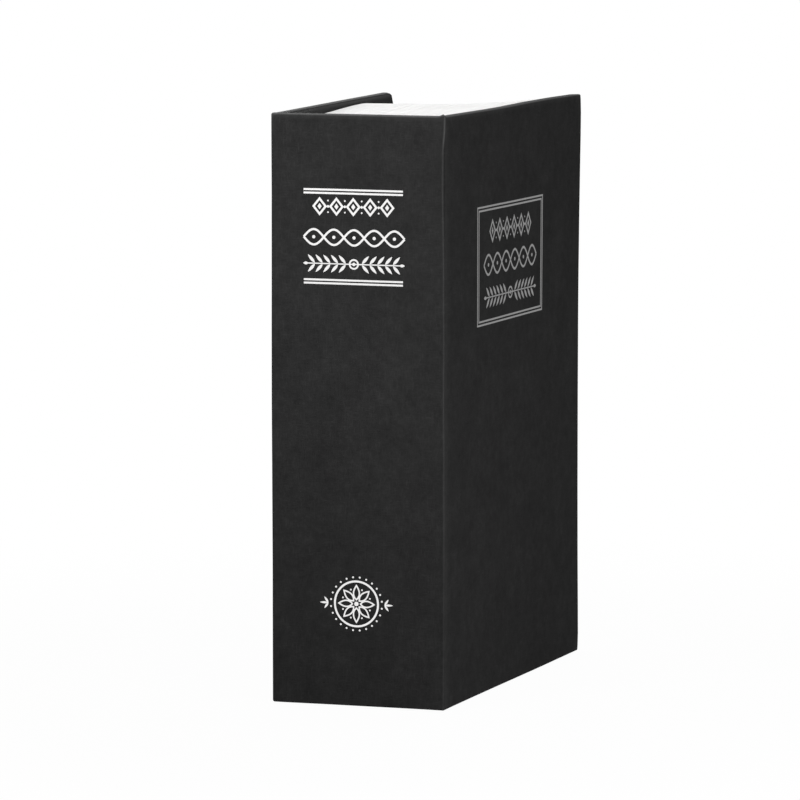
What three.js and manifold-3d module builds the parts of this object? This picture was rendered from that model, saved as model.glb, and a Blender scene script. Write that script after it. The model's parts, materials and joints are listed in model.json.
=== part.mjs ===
// A diversion safe: a steel lock box inside the pages of a hardcover book.
// Millimetres. +X is towards the front cover, -Y is the spine, +Z is the head of the book.
// The book is built closed and square, and the front cover is then swung ajar.

import * as THREE from 'three';
import { mergeVertices } from 'three/addons/utils/BufferGeometryUtils.js';
import Module from 'manifold-3d';

const wasm = await Module();
wasm.setup();

// The book as it stands
const bookWidth = 55;
const bookDepth = 115;
const bookHeight = 180;
const ajarDegrees = 5;

// The case: one sheet of covering paper over three boards, lined with paper inside
const coverPaper = 0.25;
const glueLine = 0.05;
const greyboard = 1.7;
const liningPaper = 0.15;
const turnIn = 14;
const liningInset = 3;
const edgeRound = 0.6;
const coverCornerRound = 0.9;
const jointStrip = 2.2;
const jointRound = 0.9;
const jointGap = 0.1;

// The moulded frame that stands for the pages
const squareMargin = 3;
const coverRun = 0.5;
const pageWall = 7.2;
const pageSpineGap = 0.9;
const mouldedSkin = 1.8;
const frameFloor = 2.4;
const spineWallDrop = 4;
const spineWallLength = 10;
const crownBackRise = 0.8;
const crownFrontRise = 2;
const crownCentreShare = 0.63;
const crownHalfShare = 0.33;
const foreHollow = 1.2;
const pageLines = 20;
const pageLineDepth = 0.3;
const pageLineWidth = 1.1;
const coreWeb = 3;
const coreLength = 38;
const coreDraft = 0.6;

// The steel box and its lid
const spineRoom = 6.3;
const sheet = 0.8;
const boxFit = 0.3;
const boxBend = 1.6;
const boxCorner = 2.2;
const lidRecess = 2.7;
const lidSeat = 0.3;
const lidSkirt = 6;
const lidSideFit = 0.4;
const lidSwingFit = 0.5;
const skirtSetback = 6;

// The lid's hinge: knuckles rolled from the sheets round one pin
const pinRadius = 1;
const pinRun = 0.08;
const pinEnd = 0.6;
const hingeInset = 6.3;
const knuckleCount = 7;
const knuckleGap = 0.4;

// Rivets that hold the box to the frame's floor
const rivetShank = 1.6;
const rivetHead = 3.2;
const rivetHeadHeight = 1.1;
const rivetTail = 2.7;
const rivetTailHeight = 1;
const rivetPocket = 3.3;
const rivetPocketDepth = 1.4;
const rivetFit = 0.1;
const rivetInset = 13;
const rivetCrownShare = 0.8;

// The cam lock near the lid's fore edge
const lockInset = 19;
const bodyRadius = 8;
const bodyFlatDepth = 1.2;
const bodyAcrossFlats = 2 * (bodyRadius - bodyFlatDepth);
const flangeLand = 2.5;
const flangeRadius = bodyRadius + flangeLand;
const flangeHeight = 1.8;
const flangeChamfer = 0.6;
const bodyLength = 13;
const lockFit = 0.15;
const plugRadius = 5.6;
const plugRim = 6.6;
const plugRimHeight = 0.9;
const plugRun = 0.1;
const plugProud = 0.2;
const keyWide = 1.9;
const keyTall = 7.6;
const keyDepth = 10.6;
const driveSide = 6;
const waferWide = 3.6;
const waferTall = 10;
const waferThickness = 0.5;
const waferWindowWide = 2.3;
const waferWindowTall = 5.4;
const waferSteps = [0.5, -0.6, 0.2, -0.3];
const waferFirst = 2.6;
const waferPitch = 1.8;
const waferFit = 0.08;
const washerLand = 2.2;
const washerRadius = bodyRadius + washerLand;
const washerHeight = 0.7;
const washerTeeth = 12;
const washerToothShare = 0.12;
const nutWall = 1.5;
const nutAcrossFlats = 2 * (bodyRadius + nutWall);
const nutHeight = 3.6;
const camThickness = 1.6;
const camHub = 6.4;
const camReach = 15.8;
const camTipWidth = 8.6;
const camFit = 0.12;
const camGap = 0.2;
const screwShank = 1.5;
const screwHead = 3.3;
const screwHeadHeight = 1.7;
const screwLength = 5.5;
const screwSlot = 0.8;
const screwSlotDepth = 0.8;
const screwFit = 0.1;
const screwCrownShare = 0.7;
const springWasherRadius = 3.7;
const springWasherHeight = 0.6;

// The strike that the cam turns in under
const strikeWidth = 26;
const strikeReach = 8.2;
const strikeHeight = 9;
const strikeGap = 0.6;

// One overrun for every cut, and the fineness of round shapes
const over = 1;
const fineSides = 32;
const roundSides = 24;
const arcSteps = 5;
const crownSteps = 14;

// Levels through the book's thickness, along x
const plate = 2 * coverPaper + 3 * glueLine + greyboard + liningPaper;
const half = bookWidth / 2;
const backX = -half;
const frontX = half;
const blockBack = backX + plate;
const blockFront = frontX - plate - coverRun;
const boxFloorX = blockBack + frameFloor;
const lidOutX = blockFront - lidRecess;
const lidInX = lidOutX - sheet;
const rimX = lidInX - lidSeat;

// Places along the book's depth, y
const spineY = -bookDepth / 2;
const foreY = bookDepth / 2;
const spineInY = spineY + plate;
const pageFore = foreY - squareMargin;
const pageSpine = spineInY + pageSpineGap;
const box = {
  y0: spineInY + spineRoom,
  y1: pageFore - pageWall,
  z0: squareMargin + pageWall,
  z1: bookHeight - squareMargin - pageWall,
};
const lid = {
  y1: box.y1 + lidSideFit + sheet,
  z0: box.z0 - lidSideFit - sheet,
  z1: box.z1 + lidSideFit + sheet,
};
const middleZ = bookHeight / 2;

// The lid's hinge axis
const barrelRadius = pinRadius + pinRun + sheet;
const hinge = { x: lidOutX - barrelRadius, y: box.y0 + sheet - barrelRadius };
const hingeLow = box.z0 + hingeInset;
const hingeHigh = box.z1 - hingeInset;
const knucklePitch = (hingeHigh - hingeLow) / knuckleCount;

// The lock's centre line and levels
const lock = { y: box.y1 - lockInset, z: middleZ };
const flangeTopX = lidOutX + flangeHeight;
const plugFaceX = flangeTopX + plugProud;
const bodyBackX = lidOutX - bodyLength;
const camOutX = bodyBackX - camGap;
const camInX = camOutX - camThickness;
const strikeX = camOutX + strikeGap;

// The two paper hinges of the case turn about the middle of the paper at the spine's corners
const frontFold = { x: frontX - coverPaper / 2, y: spineY + coverPaper / 2 };
const ajar = THREE.MathUtils.degToRad(ajarDegrees);

// Colours and finishes
function finish(colour, roughness, metalness = 0) {
  return new THREE.MeshStandardMaterial({ color: colour, roughness, metalness });
}
const paper = finish('#262626', 0.8);
const board = finish('#8d8a84', 0.9);
const lining = finish('#e9e4d8', 0.85);
const pages = finish('#efebe0', 0.6);
const paintedSteel = finish('#191a1b', 0.45, 0.5);
const zincPlate = finish('#b7bbc0', 0.35, 0.9);
const nickel = finish('#c9cacb', 0.2, 1);
const brass = finish('#b9975b', 0.3, 1);

// Solids and meshes
function solid(geometry) {
  const bare = geometry.clone();
  bare.deleteAttribute('normal');
  bare.deleteAttribute('uv');
  const merged = mergeVertices(bare);
  const index = merged.index.array;
  const kept = [];
  for (let i = 0; i < index.length; i += 3) {
    const [a, b, c] = [index[i], index[i + 1], index[i + 2]];
    if (a !== b && b !== c && c !== a) kept.push(a, b, c);
  }
  return new wasm.Manifold(new wasm.Mesh({
    numProp: 3,
    vertProperties: new Float32Array(merged.attributes.position.array),
    triVerts: new Uint32Array(kept),
  }));
}

function addPart(parent, name, shape, material) {
  const { vertProperties, triVerts } = shape.getMesh();
  const geometry = new THREE.BufferGeometry();
  geometry.setAttribute('position', new THREE.BufferAttribute(vertProperties, 3));
  geometry.setIndex(new THREE.BufferAttribute(triVerts, 1));
  geometry.computeVertexNormals();
  const mesh = new THREE.Mesh(geometry, material);
  mesh.name = name;
  parent.add(mesh);
  return mesh;
}

// Extrusions along each axis. An outline is drawn in (y, z), (z, x) or (x, y).
const alongAxis = {
  x: (from) => new THREE.Matrix4().set(0, 0, 1, from, 1, 0, 0, 0, 0, 1, 0, 0, 0, 0, 0, 1),
  y: (from) => new THREE.Matrix4().set(0, 1, 0, 0, 0, 0, 1, from, 1, 0, 0, 0, 0, 0, 0, 1),
  z: (from) => new THREE.Matrix4().set(1, 0, 0, 0, 0, 1, 0, 0, 0, 0, 1, from, 0, 0, 0, 1),
};

function prism(axis, shape, [from, to], curveSegments = arcSteps) {
  const geometry = new THREE.ExtrudeGeometry(shape, {
    depth: to - from,
    bevelEnabled: false,
    curveSegments,
  });
  return solid(geometry.applyMatrix4(alongAxis[axis](from)));
}

function block([x0, x1], [y0, y1], [z0, z1]) {
  const geometry = new THREE.BoxGeometry(x1 - x0, y1 - y0, z1 - z0);
  return solid(geometry.translate((x0 + x1) / 2, (y0 + y1) / 2, (z0 + z1) / 2));
}

// A rectangle whose corners are rounded by the radii at its four corners, in turn from the lowest
function roundedRectangle([a0, a1], [b0, b1], [r0, r1, r2, r3]) {
  const quarter = Math.PI / 2;
  const shape = new THREE.Shape();
  shape.moveTo(a0 + r0, b0);
  shape.lineTo(a1 - r1, b0);
  if (r1) shape.absarc(a1 - r1, b0 + r1, r1, -quarter, 0);
  shape.lineTo(a1, b1 - r2);
  if (r2) shape.absarc(a1 - r2, b1 - r2, r2, 0, quarter);
  shape.lineTo(a0 + r3, b1);
  if (r3) shape.absarc(a0 + r3, b1 - r3, r3, quarter, 2 * quarter);
  shape.lineTo(a0, b0 + r0);
  if (r0) shape.absarc(a0 + r0, b0 + r0, r0, 2 * quarter, 3 * quarter);
  return shape;
}

// A slab rounded in each of its three outlines, which is what the three prisms share
function roundedSlab(x, y, z, { yz = [0, 0, 0, 0], zx = [0, 0, 0, 0], xy = [0, 0, 0, 0] }) {
  return prism('x', roundedRectangle(y, z, yz), x)
    .intersect(prism('y', roundedRectangle(z, x, zx), y))
    .intersect(prism('z', roundedRectangle(x, y, xy), z));
}

// A round bar along z, and a turned piece along x through a centre in (y, z)
function barZ(radius, { x, y }, [z0, z1], sides = roundSides) {
  const geometry = new THREE.CylinderGeometry(radius, radius, z1 - z0, sides);
  geometry.rotateX(Math.PI / 2);
  return solid(geometry.translate(x, y, (z0 + z1) / 2));
}

function turnedX(profile, { y, z }, sides = fineSides) {
  const points = profile.map(([radius, x]) => new THREE.Vector2(radius, x));
  const geometry = new THREE.LatheGeometry(points, sides);
  const ontoX = new THREE.Matrix4().set(0, 1, 0, 0, 0, 0, 1, y, 1, 0, 0, z, 0, 0, 0, 1);
  return solid(geometry.applyMatrix4(ontoX));
}

function rodX(radius, centre, [x0, x1], sides = fineSides) {
  return turnedX([[0, x0], [radius, x0], [radius, x1], [0, x1]], centre, sides);
}

// A board, its covering and its lining. The cover's plane is (y, z) and its outside faces x.
// The covering turns in round the head, the tail and the fore edge.
function coverPieces(parent, side, outside, inward) {
  const level = (depth) => outside + inward * depth;
  const span = (a, b) => [Math.min(level(a), level(b)), Math.max(level(a), level(b))];
  const y0 = spineInY + jointGap;
  const outer = {
    yz: [0, coverCornerRound, coverCornerRound, 0],
    zx: [edgeRound, edgeRound, edgeRound, edgeRound],
    xy: [0, 0, edgeRound, edgeRound],
  };
  const wrapDepth = 2 * coverPaper + 2 * glueLine + greyboard;
  const wrapSheet = roundedSlab(span(0, wrapDepth), [y0, foreY], [0, bookHeight], outer);
  const hollow = block(
    span(coverPaper, wrapDepth - coverPaper),
    [y0 - over, foreY - coverPaper],
    [coverPaper, bookHeight - coverPaper],
  );
  const window = block(
    span(coverPaper, wrapDepth + over),
    [y0 - over, foreY - turnIn],
    [turnIn, bookHeight - turnIn],
  );
  addPart(parent, `${side}_wrap`, wrapSheet.subtract(hollow).subtract(window), paper);

  const boardEdge = coverPaper + glueLine;
  const inner = edgeRound - coverPaper;
  const core = roundedSlab(
    span(boardEdge, boardEdge + greyboard),
    [y0, foreY - boardEdge],
    [boardEdge, bookHeight - boardEdge],
    { yz: [0, inner, inner, 0] },
  );
  addPart(parent, `${side}_board`, core, board);

  const endpaper = block(
    span(plate - liningPaper, plate),
    [y0 + liningInset, foreY - liningInset],
    [liningInset, bookHeight - liningInset],
  );
  addPart(parent, `${side}_endpaper`, endpaper, lining);
}

// The spine's board and papers. Its plane is (x, z) and its outside faces -y.
function spinePieces(parent) {
  const wrapDepth = 2 * coverPaper + 2 * glueLine + greyboard;
  const wrapX = [backX + jointStrip, frontX - jointStrip];
  const wrapSheet = roundedSlab(wrapX, [spineY, spineY + wrapDepth], [0, bookHeight], {
    yz: [edgeRound, edgeRound, edgeRound, edgeRound],
  });
  const past = [wrapX[0] - over, wrapX[1] + over];
  const hollow = block(
    past,
    [spineY + coverPaper, spineY + wrapDepth - coverPaper],
    [coverPaper, bookHeight - coverPaper],
  );
  const window = block(past, [spineY + coverPaper, spineInY + over], [turnIn, bookHeight - turnIn]);
  addPart(parent, 'spine_wrap', wrapSheet.subtract(hollow).subtract(window), paper);

  const boardEdge = coverPaper + glueLine;
  const core = roundedSlab(
    [backX + boardEdge, frontX - boardEdge],
    [spineY + boardEdge, spineY + boardEdge + greyboard],
    [boardEdge, bookHeight - boardEdge],
    { xy: [jointRound - boardEdge, jointRound - boardEdge, 0, 0] },
  );
  addPart(parent, 'spine_board', core, board);

  const strip = block(
    [backX + liningInset, frontX - liningInset],
    [spineInY - liningPaper, spineInY],
    [liningInset, bookHeight - liningInset],
  );
  addPart(parent, 'spine_lining', strip, lining);
}

// The covering where it folds round one edge of the spine's board, which is the case's paper hinge
function jointPiece(parent, name, side) {
  const reach = plate - glueLine;
  const outside = roundedRectangle(
    [half - jointStrip, half],
    [spineY, spineY + reach],
    [0, jointRound, 0, 0],
  );
  const inside = roundedRectangle(
    [half - jointStrip - over, half - coverPaper],
    [spineY + coverPaper, spineY + reach + over],
    [0, jointRound - coverPaper, 0, 0],
  );
  const fold = prism('z', outside, [0, bookHeight]).subtract(prism('z', inside, [-over, bookHeight + over]));
  addPart(parent, name, side > 0 ? fold : fold.mirror([1, 0, 0]), paper);
}

// How far the head and tail of the pages swell at x and y. They swell most near the front cover.
function crown(x, y) {
  const along = (y - pageSpine) / (pageFore - pageSpine);
  const from = (along - crownCentreShare) / crownHalfShare;
  const forward = (x - blockBack) / (blockFront - blockBack);
  const rise = crownBackRise + (crownFrontRise - crownBackRise) * forward ** 3;
  return Math.abs(from) < 1 ? rise * Math.cos((from * Math.PI) / 2) ** 2 : 0;
}

// The pages' outline at one level, sunk by the depth of a page line
function pageOutline(x, sink) {
  const across = (2 * x - blockBack - blockFront) / (blockFront - blockBack);
  const fore = pageFore - foreHollow * (1 - across ** 2) - sink;
  const ys = [];
  for (let i = 0; i <= crownSteps; i++) ys.push(pageSpine + ((fore - pageSpine) * i) / crownSteps);
  const low = ys.map((y) => new THREE.Vector3(x, y, squareMargin - crown(x, y) + sink));
  const high = ys.map((y) => new THREE.Vector3(x, y, bookHeight - squareMargin + crown(x, y) - sink));
  return [...low, ...high.reverse()];
}

// A closed skin through outlines of as many points each, with its two ends filled
function loft(outlines) {
  const count = outlines[0].length;
  const points = outlines.flat();
  const faces = [];
  for (let k = 0; k + 1 < outlines.length; k++) {
    for (let i = 0; i < count; i++) {
      const j = (i + 1) % count;
      const [a, b] = [k * count + i, k * count + j];
      faces.push(a, b, b + count, a, b + count, a + count);
    }
  }
  const flat = outlines[0].map((point) => new THREE.Vector2(point.y, point.z));
  const last = (outlines.length - 1) * count;
  for (const [a, b, c] of THREE.ShapeUtils.triangulateShape(flat, [])) {
    faces.push(a, c, b, last + a, last + b, last + c);
  }
  const geometry = new THREE.BufferGeometry().setFromPoints(points);
  return geometry.setIndex(faces);
}

function pageFrame(parent) {
  const pitch = (blockFront - blockBack) / pageLines;
  const outlines = [pageOutline(blockBack, 0)];
  for (let i = 0; i < pageLines; i++) {
    const x = blockBack + pitch * (i + 1 / 2);
    outlines.push(pageOutline(x - pageLineWidth / 2, 0));
    outlines.push(pageOutline(x, pageLineDepth));
    outlines.push(pageOutline(x + pageLineWidth / 2, 0));
  }
  outlines.push(pageOutline(blockFront, 0));
  let frame = solid(loft(outlines));

  // The room for the box, and above it for the lid's skirts
  const room = { y0: box.y0 - boxFit, y1: box.y1 + boxFit, z0: box.z0 - boxFit, z1: box.z1 + boxFit };
  const up = [boxFloorX, blockFront + over];
  const corner = boxCorner + boxFit;
  frame = frame.subtract(prism('x', roundedRectangle(
    [room.y0, room.y1],
    [room.z0, room.z1],
    [corner, corner, corner, corner],
  ), up));
  const lidCorner = boxCorner + lidSideFit + sheet + lidSwingFit;
  frame = frame.subtract(prism('x', roundedRectangle(
    [room.y0, lid.y1 + lidSwingFit],
    [lid.z0 - lidSwingFit, lid.z1 + lidSwingFit],
    [0, lidCorner, lidCorner, 0],
  ), [lidOutX - lidSkirt - lidSwingFit, blockFront + over]));

  // The wall on the spine's side is thin and low, to leave room for the hinge
  const outsideWall = room.y0 - mouldedSkin;
  frame = frame.subtract(block(
    [blockBack - over, blockFront + over],
    [pageSpine - over, outsideWall],
    [box.z0 + spineWallLength, box.z1 - spineWallLength],
  ));
  frame = frame.subtract(block(
    [hinge.x - barrelRadius - spineWallDrop, blockFront + over],
    [pageSpine - over, room.y0 + over],
    [box.z0 - lidSideFit - sheet - lidSwingFit, box.z1 + lidSideFit + sheet + lidSwingFit],
  ));

  // Pockets cored out of the thick walls from the back, as in any moulding
  const frontSkin = blockFront - lidRecess - lidSkirt - lidSwingFit - mouldedSkin;
  const deep = [blockBack - over, frontSkin];
  const coreIn = mouldedSkin + boxFit;
  const coreOut = mouldedSkin + pageLineDepth + coreDraft;
  const alongHead = Math.floor((box.y1 - box.y0) / (coreLength + coreWeb));
  const alongFore = Math.floor((box.z1 - box.z0) / (coreLength + coreWeb));
  const headStep = (box.y1 - box.y0) / alongHead;
  const foreStep = (box.z1 - box.z0) / alongFore;
  const tailCore = [squareMargin + coreOut, box.z0 - coreIn];
  const headCore = [box.z1 + coreIn, bookHeight - squareMargin - coreOut];
  const foreCore = [box.y1 + coreIn, pageFore - foreHollow - coreOut];
  for (let i = 0; i < alongHead; i++) {
    const start = box.y0 + headStep * i;
    const run = [start + coreWeb / 2, start + headStep - coreWeb / 2];
    frame = frame.subtract(block(deep, run, tailCore)).subtract(block(deep, run, headCore));
  }
  for (let i = 0; i < alongFore; i++) {
    const start = box.z0 + foreStep * i;
    const run = [start + coreWeb / 2, start + foreStep - coreWeb / 2];
    frame = frame.subtract(block(deep, foreCore, run));
  }

  for (const place of rivetPlaces()) {
    const hole = rodX(rivetShank + rivetFit, place, [blockBack - over, boxFloorX + over], roundSides);
    const pocket = rodX(rivetPocket, place, [blockBack - over, blockBack + rivetPocketDepth], roundSides);
    frame = frame.subtract(hole).subtract(pocket);
  }
  addPart(parent, 'page_frame', frame, pages);
}

function rivetPlaces() {
  const ys = [box.y0 + rivetInset, box.y1 - rivetInset];
  const zs = [box.z0 + rivetInset, box.z1 - rivetInset];
  return ys.flatMap((y) => zs.map((z) => ({ y, z })));
}

function rivets(parent) {
  rivetPlaces().forEach((place, i) => {
    const seat = boxFloorX + sheet;
    const tailSeat = blockBack + rivetPocketDepth;
    const shape = turnedX([
      [0, tailSeat - rivetTailHeight],
      [rivetTail * rivetCrownShare, tailSeat - rivetTailHeight],
      [rivetTail, tailSeat - rivetTailHeight / 2],
      [rivetTail, tailSeat],
      [rivetShank, tailSeat],
      [rivetShank, seat],
      [rivetHead, seat],
      [rivetHead, seat + rivetHeadHeight / 4],
      [rivetHead * rivetCrownShare, seat + rivetHeadHeight * rivetCrownShare],
      [rivetHead / 2, seat + rivetHeadHeight],
      [0, seat + rivetHeadHeight],
    ], place, roundSides);
    addPart(parent, `box_rivet_${i + 1}`, shape, zincPlate);
  });
}

// Which stretch of the hinge each knuckle takes
function knuckles(first) {
  const spans = [];
  for (let i = first; i < knuckleCount; i += 2) {
    const low = hingeLow + knucklePitch * i;
    spans.push([low + knuckleGap / 2, low + knucklePitch - knuckleGap / 2]);
  }
  return spans;
}

function widened([low, high], by) {
  return [low - by, high + by];
}

function boxTray(parent) {
  const outside = roundedSlab([boxFloorX, rimX], [box.y0, box.y1], [box.z0, box.z1], {
    yz: [boxCorner, boxCorner, boxCorner, boxCorner],
    zx: [boxBend, boxBend, 0, 0],
    xy: [boxBend, 0, 0, boxBend],
  });
  const inCorner = boxCorner - sheet;
  const inBend = boxBend - sheet;
  const inside = roundedSlab(
    [boxFloorX + sheet, rimX + over],
    [box.y0 + sheet, box.y1 - sheet],
    [box.z0 + sheet, box.z1 - sheet],
    {
      yz: [inCorner, inCorner, inCorner, inCorner],
      zx: [inBend, inBend, 0, 0],
      xy: [inBend, 0, 0, inBend],
    },
  );
  let tray = outside.subtract(inside);

  // The wall at the spine ends in the box's own knuckles, cut away where the lid's knuckles turn
  const wallY = [box.y0 - over, box.y0 + sheet + lidSeat];
  tray = tray.subtract(block([hinge.x, rimX + over], wallY, widened([box.z0, box.z1], -boxCorner)));
  for (const span of knuckles(1)) {
    const low = hinge.x - barrelRadius - knuckleGap;
    tray = tray.subtract(block([low, rimX + over], wallY, widened(span, knuckleGap)));
  }
  for (const span of knuckles(0)) tray = tray.add(barZ(barrelRadius, hinge, span));
  const bore = barZ(pinRadius + pinRun, hinge, widened([hingeLow, hingeHigh], over));
  tray = tray.subtract(bore);

  for (const place of rivetPlaces()) {
    const through = [boxFloorX - over, boxFloorX + sheet + over];
    tray = tray.subtract(rodX(rivetShank + rivetFit, place, through, roundSides));
  }
  addPart(parent, 'box_tray', tray, paintedSteel);

  const pinSpan = widened([hingeLow, hingeHigh], pinEnd);
  addPart(parent, 'hinge_pin', barZ(pinRadius, hinge, pinSpan), zincPlate);
}

// The angle welded inside the fore wall, whose free leg holds the cam
function strikeBracket(parent) {
  const wall = box.y1 - sheet;
  const outline = new THREE.Shape();
  outline.moveTo(strikeX, wall - strikeReach);
  outline.lineTo(strikeX, wall);
  outline.lineTo(strikeX + strikeHeight, wall);
  outline.lineTo(strikeX + strikeHeight, wall - sheet);
  outline.lineTo(strikeX + sheet, wall - sheet);
  outline.lineTo(strikeX + sheet, wall - strikeReach);
  const span = [lock.z - strikeWidth / 2, lock.z + strikeWidth / 2];
  addPart(parent, 'strike_bracket', prism('z', outline, span), paintedSteel);
}

function boxLid(parent) {
  const lidCorner = boxCorner + lidSideFit + sheet;
  const skirtX = lidOutX - lidSkirt;
  const outside = roundedSlab([skirtX, lidOutX], [hinge.y, lid.y1], [lid.z0, lid.z1], {
    yz: [0, lidCorner, lidCorner, 0],
    zx: [0, 0, boxBend, boxBend],
    xy: [0, 0, boxBend, 0],
  });
  const inCorner = lidCorner - sheet;
  const inBend = boxBend - sheet;
  const inside = roundedSlab(
    [skirtX - over, lidInX],
    [hinge.y - over, lid.y1 - sheet],
    [lid.z0 + sheet, lid.z1 - sheet],
    {
      yz: [0, inCorner, inCorner, 0],
      zx: [0, 0, inBend, inBend],
      xy: [0, 0, inBend, 0],
    },
  );
  let cover = outside.subtract(inside);

  // Only the knuckles reach the hinge's axis: the plate and its skirts stop short of it
  const clearY = hinge.y + barrelRadius + knuckleGap;
  const allZ = widened([lid.z0, lid.z1], over);
  cover = cover.subtract(block([skirtX - over, lidInX], [hinge.y - over, hinge.y + skirtSetback], allZ));
  const cuts = [[lid.z0 - over, hingeLow], ...knuckles(0), [hingeHigh, lid.z1 + over]];
  for (const span of cuts) {
    const cut = block([skirtX - over, lidOutX + over], [hinge.y - over, clearY], widened(span, knuckleGap));
    cover = cover.subtract(cut);
  }
  for (const span of knuckles(1)) cover = cover.add(barZ(barrelRadius, hinge, span));
  const bore = barZ(pinRadius + pinRun, hinge, widened([hingeLow, hingeHigh], over));
  cover = cover.subtract(bore);
  cover = cover.subtract(lockBody(lockFit, [lidInX - over, lidOutX + over]));
  addPart(parent, 'box_lid', cover, paintedSteel);
}

// The lock's threaded body has two flats, and the lid's hole matches it
function lockBody(fit, span) {
  const across = bodyAcrossFlats / 2 + fit;
  const wide = bodyRadius + fit + over;
  return rodX(bodyRadius + fit, lock, span)
    .intersect(block(span, [lock.y - across, lock.y + across], [lock.z - wide, lock.z + wide]));
}

function lockHousing(parent) {
  const flange = turnedX([
    [0, lidOutX],
    [flangeRadius, lidOutX],
    [flangeRadius, flangeTopX - flangeChamfer],
    [flangeRadius - flangeChamfer, flangeTopX],
    [0, flangeTopX],
  ], lock);
  const through = rodX(plugRadius + plugRun, lock, [bodyBackX - over, flangeTopX + over]);
  const rim = rodX(plugRim + plugRun, lock, [flangeTopX - plugRimHeight, flangeTopX + over]);
  const body = lockBody(0, [bodyBackX, lidOutX + flangeHeight / 2]);
  addPart(parent, 'lock_housing', body.add(flange).subtract(through).subtract(rim), nickel);
}

function lockWasher(parent) {
  const outline = new THREE.Shape();
  const tipPoints = 2;
  const toothPoints = 2 * tipPoints;
  const steps = washerTeeth * toothPoints;
  const rootRadius = washerRadius * (1 - washerToothShare);
  for (let i = 0; i < steps; i++) {
    const angle = (i / steps) * 2 * Math.PI;
    const radius = i % toothPoints < tipPoints ? washerRadius : rootRadius;
    const point = [radius * Math.cos(angle) + lock.y, radius * Math.sin(angle) + lock.z];
    if (i) outline.lineTo(...point);
    else outline.moveTo(...point);
  }
  const span = [lidInX - washerHeight, lidInX];
  const ring = prism('x', outline, span);
  const hole = rodX(bodyRadius + lockFit, lock, widened(span, over));
  addPart(parent, 'lock_washer', ring.subtract(hole), zincPlate);
}

function lockNut(parent) {
  const top = lidInX - washerHeight;
  const span = [top - nutHeight, top];
  const cornerRadius = nutAcrossFlats / 2 / Math.cos(Math.PI / 6);
  const hexagon = rodX(cornerRadius, lock, span, 6);
  const chamfer = cornerRadius - nutAcrossFlats / 2;
  const cone = turnedX([
    [0, span[0]],
    [nutAcrossFlats / 2, span[0]],
    [cornerRadius, span[0] + chamfer],
    [cornerRadius, span[1] - chamfer],
    [nutAcrossFlats / 2, span[1]],
    [0, span[1]],
  ], lock);
  const hole = rodX(bodyRadius + lockFit, lock, widened(span, over));
  addPart(parent, 'lock_nut', hexagon.intersect(cone).subtract(hole), brass);
}

function lockPlug(parent) {
  const barrel = turnedX([
    [0, bodyBackX],
    [plugRadius, bodyBackX],
    [plugRadius, flangeTopX - plugRimHeight + plugRun],
    [plugRim, flangeTopX - plugRimHeight + plugRun],
    [plugRim, plugFaceX],
    [0, plugFaceX],
  ], lock);
  const side = driveSide / 2;
  const drive = block(
    [camInX + camFit, bodyBackX + over],
    [lock.y - side, lock.y + side],
    [lock.z - side, lock.z + side],
  );
  const keyway = block(
    [plugFaceX - keyDepth, plugFaceX + over],
    [lock.y - keyWide / 2, lock.y + keyWide / 2],
    [lock.z - keyTall / 2, lock.z + keyTall / 2],
  );
  const threadSpan = [camInX - over, camInX + screwLength + screwFit];
  const hole = rodX(screwShank + screwFit, lock, threadSpan, roundSides);
  let plug = barrel.add(drive).subtract(keyway).subtract(hole);
  for (const [low, high] of waferSpans()) {
    plug = plug.subtract(block(
      [low, high + waferFit],
      widened([lock.y - waferWide / 2, lock.y + waferWide / 2], waferFit),
      widened([lock.z - plugRadius, lock.z + plugRadius], over),
    ));
  }
  addPart(parent, 'lock_plug', plug, nickel);
}

// Where each wafer lies along the plug
function waferSpans() {
  return waferSteps.map((step, i) => {
    const high = plugFaceX - waferFirst - waferPitch * i;
    return [high - waferThickness, high];
  });
}

// The wafers as a key holds them, level with the plug's side. Each window stands at its own height.
function lockWafers(parent) {
  waferSpans().forEach((span, i) => {
    const middle = lock.z + waferSteps[i];
    const plateOfWafer = block(
      span,
      [lock.y - waferWide / 2, lock.y + waferWide / 2],
      [lock.z - waferTall / 2, lock.z + waferTall / 2],
    );
    const window = block(
      widened(span, over),
      [lock.y - waferWindowWide / 2, lock.y + waferWindowWide / 2],
      [middle - waferWindowTall / 2, middle + waferWindowTall / 2],
    );
    addPart(parent, `lock_wafer_${i + 1}`, plateOfWafer.subtract(window), brass);
  });
}

// The cam's arm points up the book when the lock is open, and at the fore wall when it is locked
function lockCam(parent) {
  const tip = camReach - camTipWidth / 2;
  const outline = new THREE.Shape();
  outline.absarc(lock.y, lock.z, camHub, Math.PI, 2 * Math.PI);
  outline.lineTo(lock.y + camTipWidth / 2, lock.z + tip);
  outline.absarc(lock.y, lock.z + tip, camTipWidth / 2, 0, Math.PI);
  const side = driveSide / 2 + camFit;
  const hole = block(
    [camInX - over, camOutX + over],
    [lock.y - side, lock.y + side],
    [lock.z - side, lock.z + side],
  );
  const arm = prism('x', outline, [camInX, camOutX], roundSides / 2);
  addPart(parent, 'lock_cam', arm.subtract(hole), zincPlate);
}

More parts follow.
